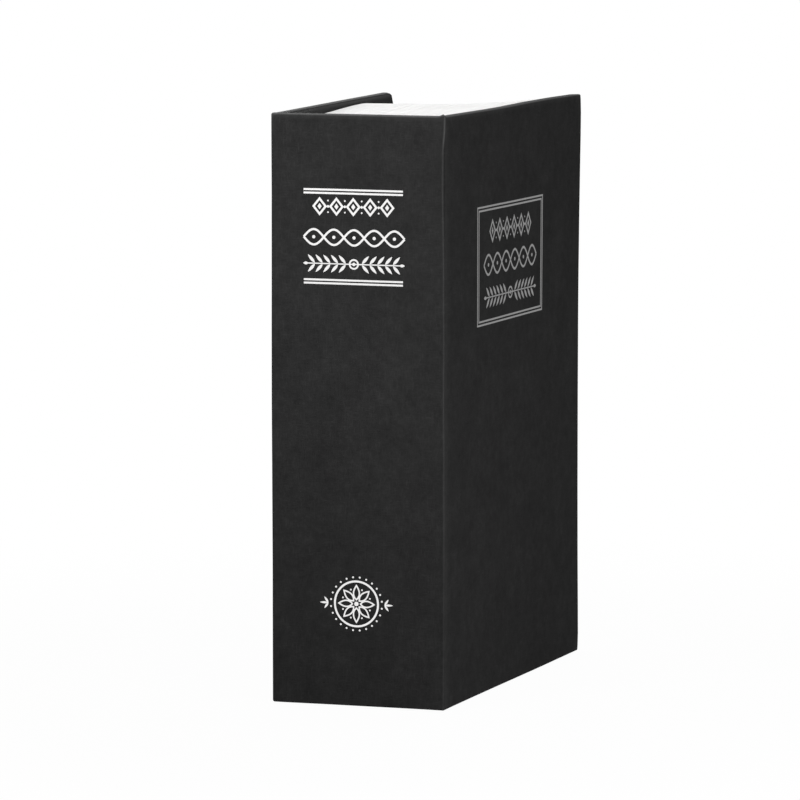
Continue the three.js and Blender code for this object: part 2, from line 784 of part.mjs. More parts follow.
function camFastening(parent) {
  const washerSpan = [camInX - springWasherHeight, camInX];
  const ring = rodX(springWasherRadius, lock, washerSpan, roundSides)
    .subtract(rodX(screwShank + screwFit, lock, widened(washerSpan, over), roundSides));
  addPart(parent, 'cam_washer', ring, zincPlate);

  const headTop = washerSpan[0];
  const headX = headTop - screwHeadHeight;
  const screw = turnedX([
    [0, headX],
    [screwHead * screwCrownShare, headX],
    [screwHead, headX + screwHeadHeight / 2],
    [screwHead, headTop],
    [screwShank, headTop],
    [screwShank, headTop + springWasherHeight + screwLength],
    [0, headTop + springWasherHeight + screwLength],
  ], lock, roundSides);
  const slot = block(
    [headX - over, headX + screwSlotDepth],
    [lock.y - screwSlot / 2, lock.y + screwSlot / 2],
    [lock.z - screwHead - over, lock.z + screwHead + over],
  );
  addPart(parent, 'cam_screw', screw.subtract(slot), zincPlate);
}

// The book block stands still, and the front cover turns ajar about its fold
const book = new THREE.Group();
coverPieces(book, 'back', backX, 1);
pageFrame(book);
boxTray(book);
rivets(book);
strikeBracket(book);
spinePieces(book);
jointPiece(book, 'front_joint', 1);
jointPiece(book, 'back_joint', -1);
boxLid(book);
lockHousing(book);
lockWasher(book);
lockNut(book);
lockPlug(book);
lockWafers(book);
lockCam(book);
camFastening(book);

const swing = new THREE.Group();
swing.position.set(frontFold.x, frontFold.y, 0);
swing.rotation.z = -ajar;
const frontCover = new THREE.Group();
frontCover.position.set(-frontFold.x, -frontFold.y, 0);
coverPieces(frontCover, 'front', frontX, -1);
swing.add(frontCover);
book.add(swing);

// The origin is the middle of the base of all that stands, cover ajar
book.updateMatrixWorld(true);
const extent = new THREE.Box3().setFromObject(book);
const centre = extent.getCenter(new THREE.Vector3());
book.position.set(-centre.x, -centre.y, -extent.min.z);

export default book;
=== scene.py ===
# The dressed book diversion safe: covering paper, stamped foil, pages, painted steel and the cam lock.
# Shapes are drawn in millimetres on the closed book: x runs from the back cover to the front cover and is 0
# in the middle, y runs from the spine to the fore edge, and z from the tail to the head. place(),
# place_back() and place_swung() then put a point into the row frame, in metres.

import json
import math
import random

import bmesh
import bpy
from mathutils import Matrix, Vector, noise


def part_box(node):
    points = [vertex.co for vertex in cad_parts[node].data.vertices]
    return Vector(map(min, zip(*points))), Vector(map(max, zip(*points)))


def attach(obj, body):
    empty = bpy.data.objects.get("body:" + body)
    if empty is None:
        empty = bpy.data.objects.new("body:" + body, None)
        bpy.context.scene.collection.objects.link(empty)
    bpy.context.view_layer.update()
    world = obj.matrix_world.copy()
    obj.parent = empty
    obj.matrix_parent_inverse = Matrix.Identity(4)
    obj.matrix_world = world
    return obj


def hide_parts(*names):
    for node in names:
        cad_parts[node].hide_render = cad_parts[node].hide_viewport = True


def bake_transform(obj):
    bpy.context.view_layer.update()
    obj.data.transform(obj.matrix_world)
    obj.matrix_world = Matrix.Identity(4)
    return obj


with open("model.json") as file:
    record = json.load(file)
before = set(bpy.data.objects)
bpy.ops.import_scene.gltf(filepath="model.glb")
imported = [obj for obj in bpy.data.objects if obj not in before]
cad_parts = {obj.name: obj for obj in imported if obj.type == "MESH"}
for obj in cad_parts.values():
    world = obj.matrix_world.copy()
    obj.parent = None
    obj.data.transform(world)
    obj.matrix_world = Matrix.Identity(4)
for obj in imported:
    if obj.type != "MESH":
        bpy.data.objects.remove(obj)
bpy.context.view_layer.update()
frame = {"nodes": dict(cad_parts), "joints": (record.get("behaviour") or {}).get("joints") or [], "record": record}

MM = 0.001
JOINTS = {joint["name"]: joint for joint in frame["joints"]}


def low_of(node):
    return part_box(node)[0] / MM


def high_of(node):
    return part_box(node)[1] / MM


# Sizes read from the frame
FRONT_FOLD = Vector(JOINTS["cover_hinge"]["pos_m"]) / MM
BACK_FOLD = Vector(JOINTS["spine_hinge"]["pos_m"]) / MM
KEY_AXIS = Vector(JOINTS["key_turn"]["pos_m"]) / MM
AJAR = math.radians(-JOINTS["cover_hinge"]["range_deg"][0])
PAPER = 2 * (BACK_FOLD.x - low_of("back_wrap").x)
BOOK = FRONT_FOLD.x - BACK_FOLD.x + PAPER
HALF = BOOK / 2
SHIFT = low_of("back_wrap").x + HALF
HEIGHT = high_of("back_wrap").z
SPINE_Y = low_of("spine_wrap").y
FORE_Y = high_of("back_wrap").y
PLATE = high_of("back_endpaper").x - low_of("back_wrap").x
WRAP = high_of("back_wrap").x - low_of("back_wrap").x
COVER_Y0 = low_of("back_wrap").y
INSET = low_of("back_endpaper").z

# The covering: its turned-in edges, how round a board's edges are, and how finely that is drawn
TURN_IN = 14
EDGE = 0.6
ARC = 5
NEAR = 1.2

# The front cover's board bends out at the head and the foot, and its head edge stands up a little
BOW_OUT_HEAD = 0.85
BOW_OUT_FOOT = 0.42
BOW_IN = 0.18
BOW_TILT = 0.04
BOW_TILT_SHARE = 0.3
BOW_FULL_SHARE = 0.87
BOW_POWER = 2.2
BOW_UP = 0.42
BOW_UP_AT_SHARE = 0.76
BOW_UP_HALF_SHARE = 0.45
HEAD_REACH = 12
BACK_LOW = 0.15

# Paper over boards is never quite flat: it has a slow bend and a finer ripple. Its foot lifts at the front
# fold and drops at the back fold.
BEND = 0.09
BEND_SIZE = 48
RIPPLE = 0.022
RIPPLE_SIZE = 13
RIPPLE_START = Vector((7.1, 3.3, 9.7))
FOOT_HIGH = 15
FOOT_LIFT = 0.15
FOOT_LIFT_WIDE = 22
FOOT_LIFT_DEEP = 60
FOOT_DROP = 0.12
FOOT_DROP_REACH = 14

# The seed of Blender's noise vectors, which start elsewhere in each run without one
NOISE_SEED = 1795893354
noise.seed_set(NOISE_SEED)

# The row of the noise that each form reads, so that no two look alike
ROW = {"sheet": 4.2, "wander": 1.7, "swell": 8.1, "pages": 2.5}


def clamp(value, low=0.0, high=1.0):
    return min(high, max(low, value))


def soft_step(value):
    t = clamp(value)
    return t * t * (3 - 2 * t)


def near_head(z):
    """0 below the head's last stretch, and 1 at the head."""
    return clamp((z - HEIGHT + HEAD_REACH) / HEAD_REACH)


def bow(point):
    """How far the front cover's board bends out at a point, and how far its head edge stands up there."""
    along = clamp((point[1] - COVER_Y0) / (FORE_Y - COVER_Y0))
    up = 2 * point[2] / HEIGHT - 1
    most = BOW_OUT_HEAD if up > 0 else BOW_OUT_FOOT
    tilt = BOW_TILT * clamp(up / BOW_TILT_SHARE, -1.0)
    out = along**2 * (most * min(abs(up), BOW_FULL_SHARE) ** BOW_POWER - BOW_IN - tilt)
    from_top = (along - BOW_UP_AT_SHARE) / BOW_UP_HALF_SHARE
    if abs(from_top) >= 1:
        return out, 0.0
    return out, BOW_UP * math.cos(from_top * math.pi / 2) ** 2 * near_head(point[2])


def swung(point, pivot, angle):
    """A point in mm, turned about an upright axis and put into metres."""
    axis = Vector((pivot.x, pivot.y, 0))
    return (Matrix.Rotation(-angle, 3, "Z") @ (point - axis) + axis) * MM


def place(point):
    return Vector((point[0] + SHIFT, point[1], point[2])) * MM


def place_back(point):
    """The back cover's head edge lies a little low."""
    return place((point[0], point[1], point[2] - BACK_LOW * near_head(point[2])))


def place_swung(point):
    """The front cover is bowed and stands ajar."""
    out, up = bow(point)
    return swung(Vector((point[0] + SHIFT + out, point[1], point[2] + up)), FRONT_FOLD, AJAR)


def warp(point):
    """A point of the covering, moved by its bend, its ripple and the lift of its foot."""
    p = Vector(point)
    bend = noise.noise_vector(p / BEND_SIZE) * BEND
    ripple = noise.noise_vector(p / RIPPLE_SIZE + RIPPLE_START) * RIPPLE
    from_front = ((HALF - p.x) / FOOT_LIFT_WIDE) ** 2 + ((p.y - SPINE_Y) / FOOT_LIFT_DEEP) ** 2
    from_back = ((HALF + p.x) / FOOT_DROP_REACH) ** 2 + ((p.y - SPINE_Y) / FOOT_DROP_REACH) ** 2
    foot = FOOT_LIFT * math.exp(-from_front) - FOOT_DROP * math.exp(-from_back)
    return p + bend + ripple + Vector((0, 0, foot * max(0.0, 1 - p.z / FOOT_HIGH)))


# Materials
def fill(tree, socket, value):
    """Sets a socket to a number or a colour, or joins an output to it."""
    if isinstance(value, bpy.types.NodeSocket):
        tree.links.new(value, socket)
    else:
        socket.default_value = value


def add_node(tree, kind, **inputs):
    """A new shader node. In an input's name, _ stands for a space."""
    node = tree.nodes.new(f"ShaderNode{kind}")
    for name, value in inputs.items():
        fill(tree, node.inputs[name.replace("_", " ")], value)
    return node


def add_math(tree, operation, *values):
    node = add_node(tree, "Math")
    node.operation = operation
    for socket, value in zip(node.inputs, values):
        fill(tree, socket, value)
    return node.outputs[0]


class Shader:
    """One node material, with short calls for the nodes that all of them use. Sizes are in mm."""

    def __init__(self, name, **values):
        self.material = bpy.data.materials.new(name)
        self.material.use_nodes = True
        self.tree = self.material.node_tree
        self.surface = self.tree.nodes["Principled BSDF"]
        self.object = self.node("TexCoord").outputs["Object"]
        for key, value in values.items():
            self.into(value, key.replace("_", " "))

    def node(self, kind, **inputs):
        return add_node(self.tree, kind, **inputs)

    def into(self, value, name):
        fill(self.tree, self.surface.inputs[name], value)

    def scaled(self, *sizes):
        return self.node("Mapping", Vector=self.object, Scale=[1 / (size * MM) for size in sizes]).outputs[0]

    def cloud(self, size, detail=3, rough=0.5, twist=0):
        """Noise whose patches are about as wide as one size, or as three sizes along x, y and z."""
        sizes = size if isinstance(size, tuple) else (size, size, size)
        looks = {"Scale": 1, "Detail": detail, "Roughness": rough, "Distortion": twist}
        return self.node("TexNoise", Vector=self.scaled(*sizes), **looks).outputs[0]

    def cells(self, size):
        return self.node("TexVoronoi", Vector=self.scaled(size, size, size), Scale=1).outputs["Distance"]

    def bands(self, axis, pitch, twist):
        """Soft lines across an axis. At scale 1 the node draws 20 of them in 2 pi units."""
        looks = {"Scale": 2 * math.pi / (20 * pitch), "Distortion": twist, "Detail": 2}
        node = self.node("TexWave", Vector=self.scaled(1, 1, 1), **looks)
        node.bands_direction = axis
        return node.outputs["Fac"]

    def math(self, operation, first, second):
        return add_math(self.tree, operation, first, second)

    def total(self, *terms):
        """Adds outputs, each given with its weight."""
        total = None
        for output, weight in terms:
            part = self.math("MULTIPLY", output, weight)
            total = self.math("ADD", total, part) if total else part
        return total

    def spread(self, source, low, high, start=0.0, end=1.0):
        looks = {"From_Min": start, "From_Max": end, "To_Min": low, "To_Max": high}
        return self.node("MapRange", Value=source, **looks).outputs[0]

    def ramp(self, source, *stops):
        node = self.node("ValToRGB", Fac=source)
        points = node.color_ramp.elements
        while len(points) < len(stops):
            points.new(0.5)
        for point, (position, colour) in zip(points, stops):
            point.position = position
            point.color = (*colour, 1)
        return node.outputs[0]

    def mix(self, factor, first, second):
        node = self.node("Mix")
        node.data_type = "RGBA"
        for index, value in ((0, factor), (6, first), (7, second)):
            fill(self.tree, node.inputs[index], (*value, 1) if isinstance(value, tuple) else value)
        return node.outputs[2]

    def attribute(self, name):
        node = self.node("Attribute")
        node.attribute_name = name
        return node.outputs["Fac"]

    def made(self, colour, rough, height, depth, strength=0.5):
        """Ends the material with its colour, its roughness, and its relief and that relief's depth in mm."""
        bump = self.node("Bump", Strength=strength, Distance=depth * MM, Height=height)
        for value, name in ((colour, "Base Color"), (rough, "Roughness"), (bump.outputs[0], "Normal")):
            self.into(value, name)
        return self.material


def grey(value, warm=0.0):
    return (value * (1 + warm), value, value * (1 - warm))


# Painted light: the turned-in covering is painted lighter from so far below the head, on its rim and on its flaps,
# and more so on the flaps towards the spine
RIM_PAINTED_LIGHT = (3.1, 0.4)
FLAP_PAINTED_LIGHT = (12, 4)
FLAP_PAINTED_LIGHT_Y = (-20, 12)


def cover_paper():
    s = Shader("cover_paper", Specular_IOR_Level=0.01)
    down = s.cloud((0.35, 0.35, 2.4), 4, 0.6, 0.4)
    across = s.cloud((2.4, 2.4, 0.35), 4, 0.6, 0.4)
    grain = s.math("MAXIMUM", down, across)
    speck = s.cloud(0.28, 2)
    mottle = s.total((s.cloud(3.2, 4, 0.68), 0.6), (s.cloud(11, 3), 0.4))
    tone = s.total((grain, 0.6), (s.math("SUBTRACT", mottle, 0.165), 0.6))
    black = s.ramp(tone, (0.38, grey(0.0102)), (0.55, grey(0.0150)), (0.72, grey(0.0218)))
    black = s.mix(s.spread(speck, 0, 0.5, 0.6, 0.8), black, grey(0.028))
    # Wear at the corners, and wear with a painted highlight along the edges
    wear_and_highlight_mask = s.math("MULTIPLY", s.attribute("wear_and_highlight"), s.spread(s.cloud(1.6, 4, 0.7), 0.3, 1, 0.38, 0.68))
    black = s.mix(wear_and_highlight_mask, black, grey(0.05))
    # Painted highlight: lighter paper on the rims over the head and the fore edge, and along the front fold's
    # ridge
    black = s.mix(s.attribute("painted_highlight"), black, grey(0.16))
    at = s.node("SeparateXYZ", Vector=s.object).outputs

    def near_top(start, full):
        return s.spread(at["Z"], 0, 1, (HEIGHT - start) * MM, (HEIGHT - full) * MM)

    # Painted light on the turn-ins, strongest at the head's rim
    flap_light = s.spread(at["Y"], 0.36, 0.19, FLAP_PAINTED_LIGHT_Y[0] * MM, FLAP_PAINTED_LIGHT_Y[1] * MM)
    flap_light = s.math("MULTIPLY", flap_light, near_top(*FLAP_PAINTED_LIGHT))
    rim_light = s.math("MULTIPLY", s.math("POWER", near_top(*RIM_PAINTED_LIGHT), 1.4), 0.9)
    painted_turn_in_light = s.math("MULTIPLY", s.attribute("turned"), s.math("MAXIMUM", flap_light, rim_light))
    black = s.mix(painted_turn_in_light, black, grey(0.1))
    return s.made(black, s.spread(grain, 0.7, 0.92, 0.3, 0.8), s.total((grain, 1), (speck, 0.4)), 0.036)


def greyboard():
    s = Shader("greyboard", Specular_IOR_Level=0.15)
    fibre = s.cloud((1.6, 0.5, 1.6), 5, 0.7, 1.2)
    fleck = s.spread(s.cells(1.1), 0.6, 0, 0, 0.18)
    body = s.ramp(fibre, (0.3, (0.19, 0.18, 0.165)), (0.7, (0.33, 0.32, 0.3)))
    return s.made(s.mix(fleck, body, (0.1, 0.09, 0.08)), s.spread(fibre, 0.8, 0.98), fibre, 0.08, 0.6)


def lining_paper():
    s = Shader("lining_paper", Specular_IOR_Level=0.2)
    fibre = s.cloud(0.5, 5, 0.7, 1.5)
    laid = s.bands("Z", 1.1, 0.6)
    tone = s.total((fibre, 0.6), (s.cloud(14, 3), 0.4))
    body = s.ramp(tone, (0.32, (0.72, 0.685, 0.61)), (0.68, (0.83, 0.805, 0.745)))
    colour = s.mix(s.spread(laid, 0, 0.1), body, (0.66, 0.62, 0.55))
    return s.made(colour, s.spread(fibre, 0.72, 0.9), s.total((fibre, 1), (laid, 0.25)), 0.03)


def page_plastic():
    s = Shader("page_plastic", Specular_IOR_Level=0.35)
    sheets = s.cloud((0.16, 30, 30), 3, 0.65)
    bundle = s.cloud((1.9, 60, 60), 2, 0.5)
    tone = s.total((sheets, 0.55), (bundle, 0.25), (s.cloud(9, 3, 0.6), 0.2))
    stops = (0.34, (0.79, 0.785, 0.77)), (0.5, (0.88, 0.878, 0.872)), (0.62, (0.905, 0.904, 0.9))
    relief = s.total((sheets, 1), (s.cloud(0.6, 3), 0.2))
    return s.made(s.ramp(tone, *stops), s.spread(sheets, 0.5, 0.68), relief, 0.04)


def box_steel():
    s = Shader("box_steel", Specular_IOR_Level=0.5)
    peel = s.cloud(0.9, 2, 0.5)
    grit = s.cloud(0.22, 2, 0.6)
    body = s.ramp(s.cloud(25, 3), (0.3, (0.0095, 0.0098, 0.0105)), (0.7, (0.0155, 0.0158, 0.0168)))
    colour = s.mix(s.spread(grit, 0, 0.5, 0.62, 0.8), body, (0.045, 0.046, 0.048))
    rough = s.spread(s.math("ADD", grit, s.cloud(6, 3)), 0.34, 0.56, 0.6, 1.4)
    return s.made(colour, rough, s.total((peel, 1), (grit, 0.35)), 0.09)


def bare_metal(name, dark, light, scratch, rough_low, rough_high):
    s = Shader(name, Metallic=1)
    fine = s.cloud(scratch, 3, 0.6)
    tone = s.total((fine, 0.45), (s.cloud(3, 4, 0.6), 0.55))
    colour = s.ramp(tone, (0.34, dark), (0.66, light))
    return s.made(colour, s.spread(tone, rough_low, rough_high, 0.3, 0.7), fine, 0.02, 0.4)


def foil(name, dull, bright, rough):
    s = Shader(name, Metallic=1)
    fine = s.cloud(0.18, 3, 0.7)
    tone = s.total((s.cloud((0.9, 0.9, 0.35), 3, 0.6), 0.55), (fine, 0.45))
    colour = s.ramp(tone, (0.3, grey(dull, 0.008)), (0.58, grey(bright, 0.006)))
    return s.made(colour, s.spread(fine, rough, rough + 0.08), tone, 0.02, 0.35)


# Each metal's dark and light colour, the size of its scratches along x, y and z, and its roughness
METALS = {
    "zinc_steel": ((0.4, 0.41, 0.42), (0.7, 0.71, 0.73), (0.3, 0.3, 2.5), 0.24, 0.44),
    "lock_nickel": ((0.55, 0.55, 0.54), (0.78, 0.78, 0.77), (2.4, 0.12, 0.12), 0.12, 0.26),
    "lock_brass": ((0.5, 0.34, 0.13), (0.78, 0.58, 0.28), (0.3, 1.8, 0.3), 0.2, 0.4),
}
FINISH = {make.__name__: make() for make in (cover_paper, greyboard, lining_paper, page_plastic, box_steel)}
FINISH.update({name: bare_metal(name, *looks) for name, looks in METALS.items()})
# The cover's foil is a darker copy of the spine's foil: painted shade for the darker surroundings it reflects
SPINE_FOIL = foil("spine_foil", 0.72, 0.92, 0.1)
SHADED_COVER_FOIL = foil("cover_foil_painted_shade", 0.13, 0.235, 0.34)

SLOT_OF = {part["node"]: part["material_slot"] for part in frame["record"]["subparts"]}
for node, cad in frame["nodes"].items():
    for material_slot in cad.material_slots:
        material_slot.link = "OBJECT"
        material_slot.material = FINISH[SLOT_OF[node]]


# Meshes
def add_object(name, data):
    obj = bpy.data.objects.new(name, data)
    bpy.context.scene.collection.objects.link(obj)
    return obj


def add_mesh(name, points, faces, material, to_row=place, smooth=False):
    """points are mm on the closed book. The new object isn't on a body yet."""
    mesh = bpy.data.meshes.new(name)
    mesh.from_pydata([to_row(point) for point in points], [], faces)
    mesh.validate()
    shape = bmesh.new()
    shape.from_mesh(mesh)
    bmesh.ops.recalc_face_normals(shape, faces=shape.faces)
    shape.to_mesh(mesh)
    shape.free()
    mesh.materials.append(material)
    for face in mesh.polygons:
        face.use_smooth = smooth
    return add_object(name, mesh)


def finish_piece(obj, body, slot=None, *nodes):
    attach(obj, body)
    if nodes:
        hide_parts(*nodes)


def bake_modifiers(obj):
    graph = bpy.context.evaluated_depsgraph_get()
    mesh = bpy.data.meshes.new_from_object(obj.evaluated_get(graph))
    obj.modifiers.clear()
    obj.data = mesh


def smooth_by_angle(obj, degrees):
    limit = math.cos(math.radians(degrees))
    shape = bmesh.new()
    shape.from_mesh(obj.data)
    for face in shape.faces:
        face.smooth = True
    for edge in shape.edges:
        if len(edge.link_faces) == 2:
            edge.smooth = edge.link_faces[0].normal.dot(edge.link_faces[1].normal) > limit
    shape.to_mesh(obj.data)
    shape.free()


def set_share(obj, name, values):
    layer = obj.data.attributes.new(name, "FLOAT", "POINT")
    layer.data.foreach_set("value", values)


def rounded_steps(low, high, radius, cell):
    """Grid lines along one side of a rounded box, close together where its edges turn."""
    arc = [radius * math.tan(math.pi / 4 * k / ARC) for k in range(1, ARC + 1)]
    start, end = low + radius, high - radius
    near = NEAR if end - start > 4 * NEAR else 0
    count = max(1, round((end - start - 2 * near) / cell))
    middle = [start + near + (end - start - 2 * near) * k / count for k in range(count + 1)]
    if near:
        middle = [start, *middle, end]
    return [start - step for step in reversed(arc)] + middle + [end + step for step in arc]


def rounded_box(lows, highs, radius, cell):
    lines = [rounded_steps(lows[a], highs[a], radius, cell) for a in range(3)]
    index, points, faces = {}, [], []

    def vertex(raw):
        key = tuple(round(c, 5) for c in raw)
        if key not in index:
            core = Vector(clamp(raw[a], lows[a] + radius, highs[a] - radius) for a in range(3))
            away = Vector(raw) - core
            index[key] = len(points)
            points.append(core + away.normalized() * radius)
        return index[key]

    for axis in range(3):
        across, along = [a for a in range(3) if a != axis]
        for level in (lows[axis], highs[axis]):
            grid = []
            for u in lines[across]:
                row = []
                for v in lines[along]:
                    raw = [0, 0, 0]
                    raw[axis], raw[across], raw[along] = level, u, v
                    row.append(vertex(raw))
                grid.append(row)
            for i in range(len(grid) - 1):
                for j in range(len(grid[0]) - 1):
                    faces.append((grid[i][j], grid[i + 1][j], grid[i + 1][j + 1], grid[i][j + 1]))
    return points, faces


def shell_faces(rows, columns):
    """Faces of a thin shell: one layer of rows by columns points after the other, closed round the rim."""
    count = rows * columns
    faces = []
    for i in range(rows - 1):
        for j in range(columns - 1):
            a = i * columns + j
            face = (a, a + 1, a + 1 + columns, a + columns)
            faces.append(face)
            faces.append(tuple(k + count for k in reversed(face)))
    rim = list(range(columns))
    rim += [i * columns + columns - 1 for i in range(1, rows)]
    rim += [(rows - 1) * columns + j for j in range(columns - 2, -1, -1)]
    rim += [i * columns for i in range(rows - 2, 0, -1)]
    for k, a in enumerate(rim):
        b = rim[(k + 1) % len(rim)]
        faces.append((a, b, b + count, a + count))
    return faces


# Wear and painted highlight on the covering: shares along an edge and at a corner, and painted highlight rims at
# the head and the fore edge
WEAR_REACH = 3
EDGE_WEAR_AND_HIGHLIGHT_SHARE = 0.45
CORNER_WEAR_SHARE = 0.6
RIM_SHARE = 0.92
HEAD_RIM = {"back": 0.85, "front": 0.5, "spine": 0.5}
FORE_RIM = 0.2


def edge_wear_and_highlight(points, lows, highs):
    """1 on the edges of a box, where paper rubs off first and where a painted highlight lies, and 0 inside its
    sides.
    """
    values = []
    for p in points:
        near = sorted(min(p[a] - lows[a], highs[a] - p[a]) for a in range(3))
        edge = max(0.0, 1 - near[1] / EDGE)
        corner = max(0.0, 1 - near[2] / WEAR_REACH)
        values.append(min(1.0, edge * EDGE_WEAR_AND_HIGHLIGHT_SHARE + corner * CORNER_WEAR_SHARE))
    return values


def head_rim(z):
    past = z - HEIGHT + EDGE
    return RIM_SHARE * soft_step(past / EDGE) + (1 - RIM_SHARE) * soft_step(past / NEAR + 1)


def painted_rim_highlight(points, at_head, at_fore):
    """Painted highlight where the covering turns over the head and the fore edge."""
    return [max(at_head * head_rim(p.z), at_fore * soft_step((p.y - FORE_Y + EDGE) / EDGE)) for p in points]


# A cover's fore corners: how far the fold and the rounding reach, and by how much they move the covering
CORNER_REACH = 4.5
CORNER_ROUND = 2.8
CORNER_THICK = 0.14
CORNER_FORE = 0.2
CORNER_TIP = 0.36
CORNER_DRAWN = 1.6
DRAWN_OUT_SHARE = 0.6
DRAWN_IN_SHARE = 0.8
CORNER_DIP = 0.3
CORNER_DIP_IN = 0.6


def fuller_corner(point, lows, highs, inner):
    """The covering is folded together at a cover's fore corners, which stand out a little.
    On the inner side they are drawn in and rounded."""
    at_head = point.z > HEIGHT / 2
    away = math.hypot(highs[1] - point.y, (highs[2] if at_head else lows[2]) - point.z)
    fold = math.exp(-((away / CORNER_REACH) ** 2))
    drawn = math.exp(-((away / CORNER_ROUND) ** 2))
    middle = (lows[0] + highs[0]) / 2
    inward = abs(point.x - (lows[0] + highs[0] - inner)) / (highs[0] - lows[0])
    tip = CORNER_TIP if inner < middle else 0.0
    if at_head:
        rise = tip * fold - (CORNER_DIP + CORNER_DIP_IN * inward) * drawn
    else:
        rise = CORNER_DIP_IN * drawn * inward
    return Vector((
        point.x + CORNER_THICK * fold * (1 if point.x > middle else -1),
        point.y + CORNER_FORE * fold - CORNER_DRAWN * drawn * (DRAWN_OUT_SHARE + DRAWN_IN_SHARE * inward),
        point.z + rise,
    ))


# The three boards in their covering paper
WRAP_CELL = 4
BOARD_CELL = 6
SPINE_INSET = 0.12


def covering(name, lows, highs, body, to_row, node, rim, fore_rim=0.0, shape=Vector):
    """A board in its covering paper. shape moves a point of it before it is warped."""
    points, faces = rounded_box(lows, highs, EDGE, WRAP_CELL)
    obj = add_mesh(name, [warp(shape(p)) for p in points], faces, FINISH["cover_paper"], to_row, True)
    # Wear at the corners and a painted highlight along the edges
    set_share(obj, "wear_and_highlight", edge_wear_and_highlight(points, lows, highs))
    # Painted highlight on the rims where the covering turns over the head and the fore edge
    set_share(obj, "painted_highlight", painted_rim_highlight(points, rim, fore_rim))
    finish_piece(obj, body, "cover_paper", node)


# The turned-in flaps: how deep their foot and their top lie in the board's face, and how far they stand up
FLAP_CELL = 3
FLAP_FOOT = 0.19
FLAP_TOP = 0.04
FLAP_BEVEL = 0.12
COVER_FLAP = 0.1
FORE_FLAP = 0.05
SPINE_FLAP = 0.06


def flap(corners, lift, to_point):
    """Points and faces of a thin flap with four corners, its top slightly smaller than its foot."""
    corners = [Vector(corner) for corner in corners]
    middle = sum(corners, Vector((0, 0))) / 4
    columns = max(1, round((corners[1] - corners[0]).length / FLAP_CELL))
    rows = max(1, round((corners[3] - corners[0]).length / FLAP_CELL))

    def layer(depth, shrink):
        a, b, c, d = (q + (middle - q).normalized() * shrink for q in corners)
        found = []
        for i in range(rows + 1):
            for j in range(columns + 1):
                near = a + (b - a) * (j / columns)
                far = d + (c - d) * (j / columns)
                found.append(to_point(*(near + (far - near) * (i / rows)), depth))
        return found

    points = layer(WRAP + lift - FLAP_TOP, FLAP_BEVEL) + layer(WRAP - FLAP_FOOT, 0)
    return points, shell_faces(rows + 1, columns + 1)


def turn_ins(name, y0, y1, to_point, body, to_row, shape=None):
    """The covering's edges, turned over onto the inside of a board. A cover, whose corners have a shape, also
    has a flap at its fore edge, with mitred corners."""
    z0, z1 = EDGE, HEIGHT - EDGE
    cut = TURN_IN - EDGE
    mitre = cut if shape else 0
    lift = COVER_FLAP if shape else SPINE_FLAP
    flaps = [
        ([(y0, z0), (y1, z0), (y1 - mitre, z0 + cut), (y0, z0 + cut)], lift),
        ([(y0, z1 - cut), (y1 - mitre, z1 - cut), (y1, z1), (y0, z1)], lift),
    ]
    if shape:
        flaps.append(([(y1, z0), (y1, z1), (y1 - cut, z1 - cut), (y1 - cut, z0 + cut)], FORE_FLAP))
    points, faces = [], []
    for corners, rise in flaps:
        more, sides = flap(corners, rise, to_point)
        faces += [tuple(i + len(points) for i in side) for side in sides]
        points += more
    shaped = [warp(shape(p) if shape else p) for p in points]
    obj = add_mesh(name, shaped, faces, FINISH["cover_paper"], to_row)
    # Marks the turn-ins for their painted light
    set_share(obj, "turned", [1.0] * len(points))
    finish_piece(obj, body, "cover_paper")


# The lining sheets: their grid, the step where they come down off the turned-in covering, and their rim
SHEET_CELL = 5
STEP_LINES = (-0.9, -0.55, -0.3, -0.1, 0.1, 0.3, 0.55, 0.9)
LEAST_CELL = 0.12
STEP_WIDE = 1.0
STEP_DEEP = 0.1
SHEET_SUNK = 0.02
SHEET_RIM = 0.05
SHEET_RIM_DEEP = 0.03
SHEET_FOOT = 0.45
SHEET_RIPPLE = 0.012
SHEET_RIPPLE_SIZE = 9


def step_lines(low, high, turns):
    """Grid lines over a sheet, close together where the turned-in edge shows through."""
    lines = {low, high}
    count = round((high - low) / SHEET_CELL)
    lines.update(low + (high - low) * k / count for k in range(count + 1))
    for turn in turns:
        lines.update(turn + offset for offset in STEP_LINES)
    near = sorted(line for line in lines if low <= line <= high)
    kept = [near[0]]
    for line in near[1:-1]:
        if line - kept[-1] > LEAST_CELL and near[-1] - line > LEAST_CELL:
            kept.append(line)
    return kept + [near[-1]]


def pasted_sheet(name, y0, y1, fore, to_point, body, to_row, node):
    """A lining sheet, pasted over the turn-ins, of which one may lie along y = fore. Inside them the sheet
    lies lower, with a soft step."""
    ys = step_lines(y0, y1, [fore - TURN_IN])
    zs = step_lines(INSET, HEIGHT - INSET, [TURN_IN, HEIGHT - TURN_IN])
    top, bottom = [], []
    for y in ys:
        for z in zs:
            depth = min(fore - y, z, HEIGHT - z)
            sunk = STEP_DEEP * (1 - soft_step((TURN_IN + STEP_WIDE / 2 - depth) / STEP_WIDE))
            rim = min(y - ys[0], ys[-1] - y, z - zs[0], zs[-1] - z)
            crisp = SHEET_RIM_DEEP if rim < SHEET_RIM else 0.0
            at = Vector((y / SHEET_RIPPLE_SIZE, z / SHEET_RIPPLE_SIZE, ROW["sheet"]))
            top.append(to_point(y, z, PLATE - SHEET_SUNK - sunk - crisp + SHEET_RIPPLE * noise.noise(at)))
            bottom.append(to_point(y, z, PLATE - SHEET_FOOT))
    faces = shell_faces(len(ys), len(zs))
    obj = add_mesh(name, [warp(p) for p in top + bottom], faces, FINISH["lining_paper"], to_row)
    smooth_by_angle(obj, 30)
    finish_piece(obj, body, "lining_paper", node)


# The back sheet is trimmed slantwise at its head corner
TRIM = 2.3
TRIM_HIGH = 12
TRIM_START = 34
TRIM_RUN = 24


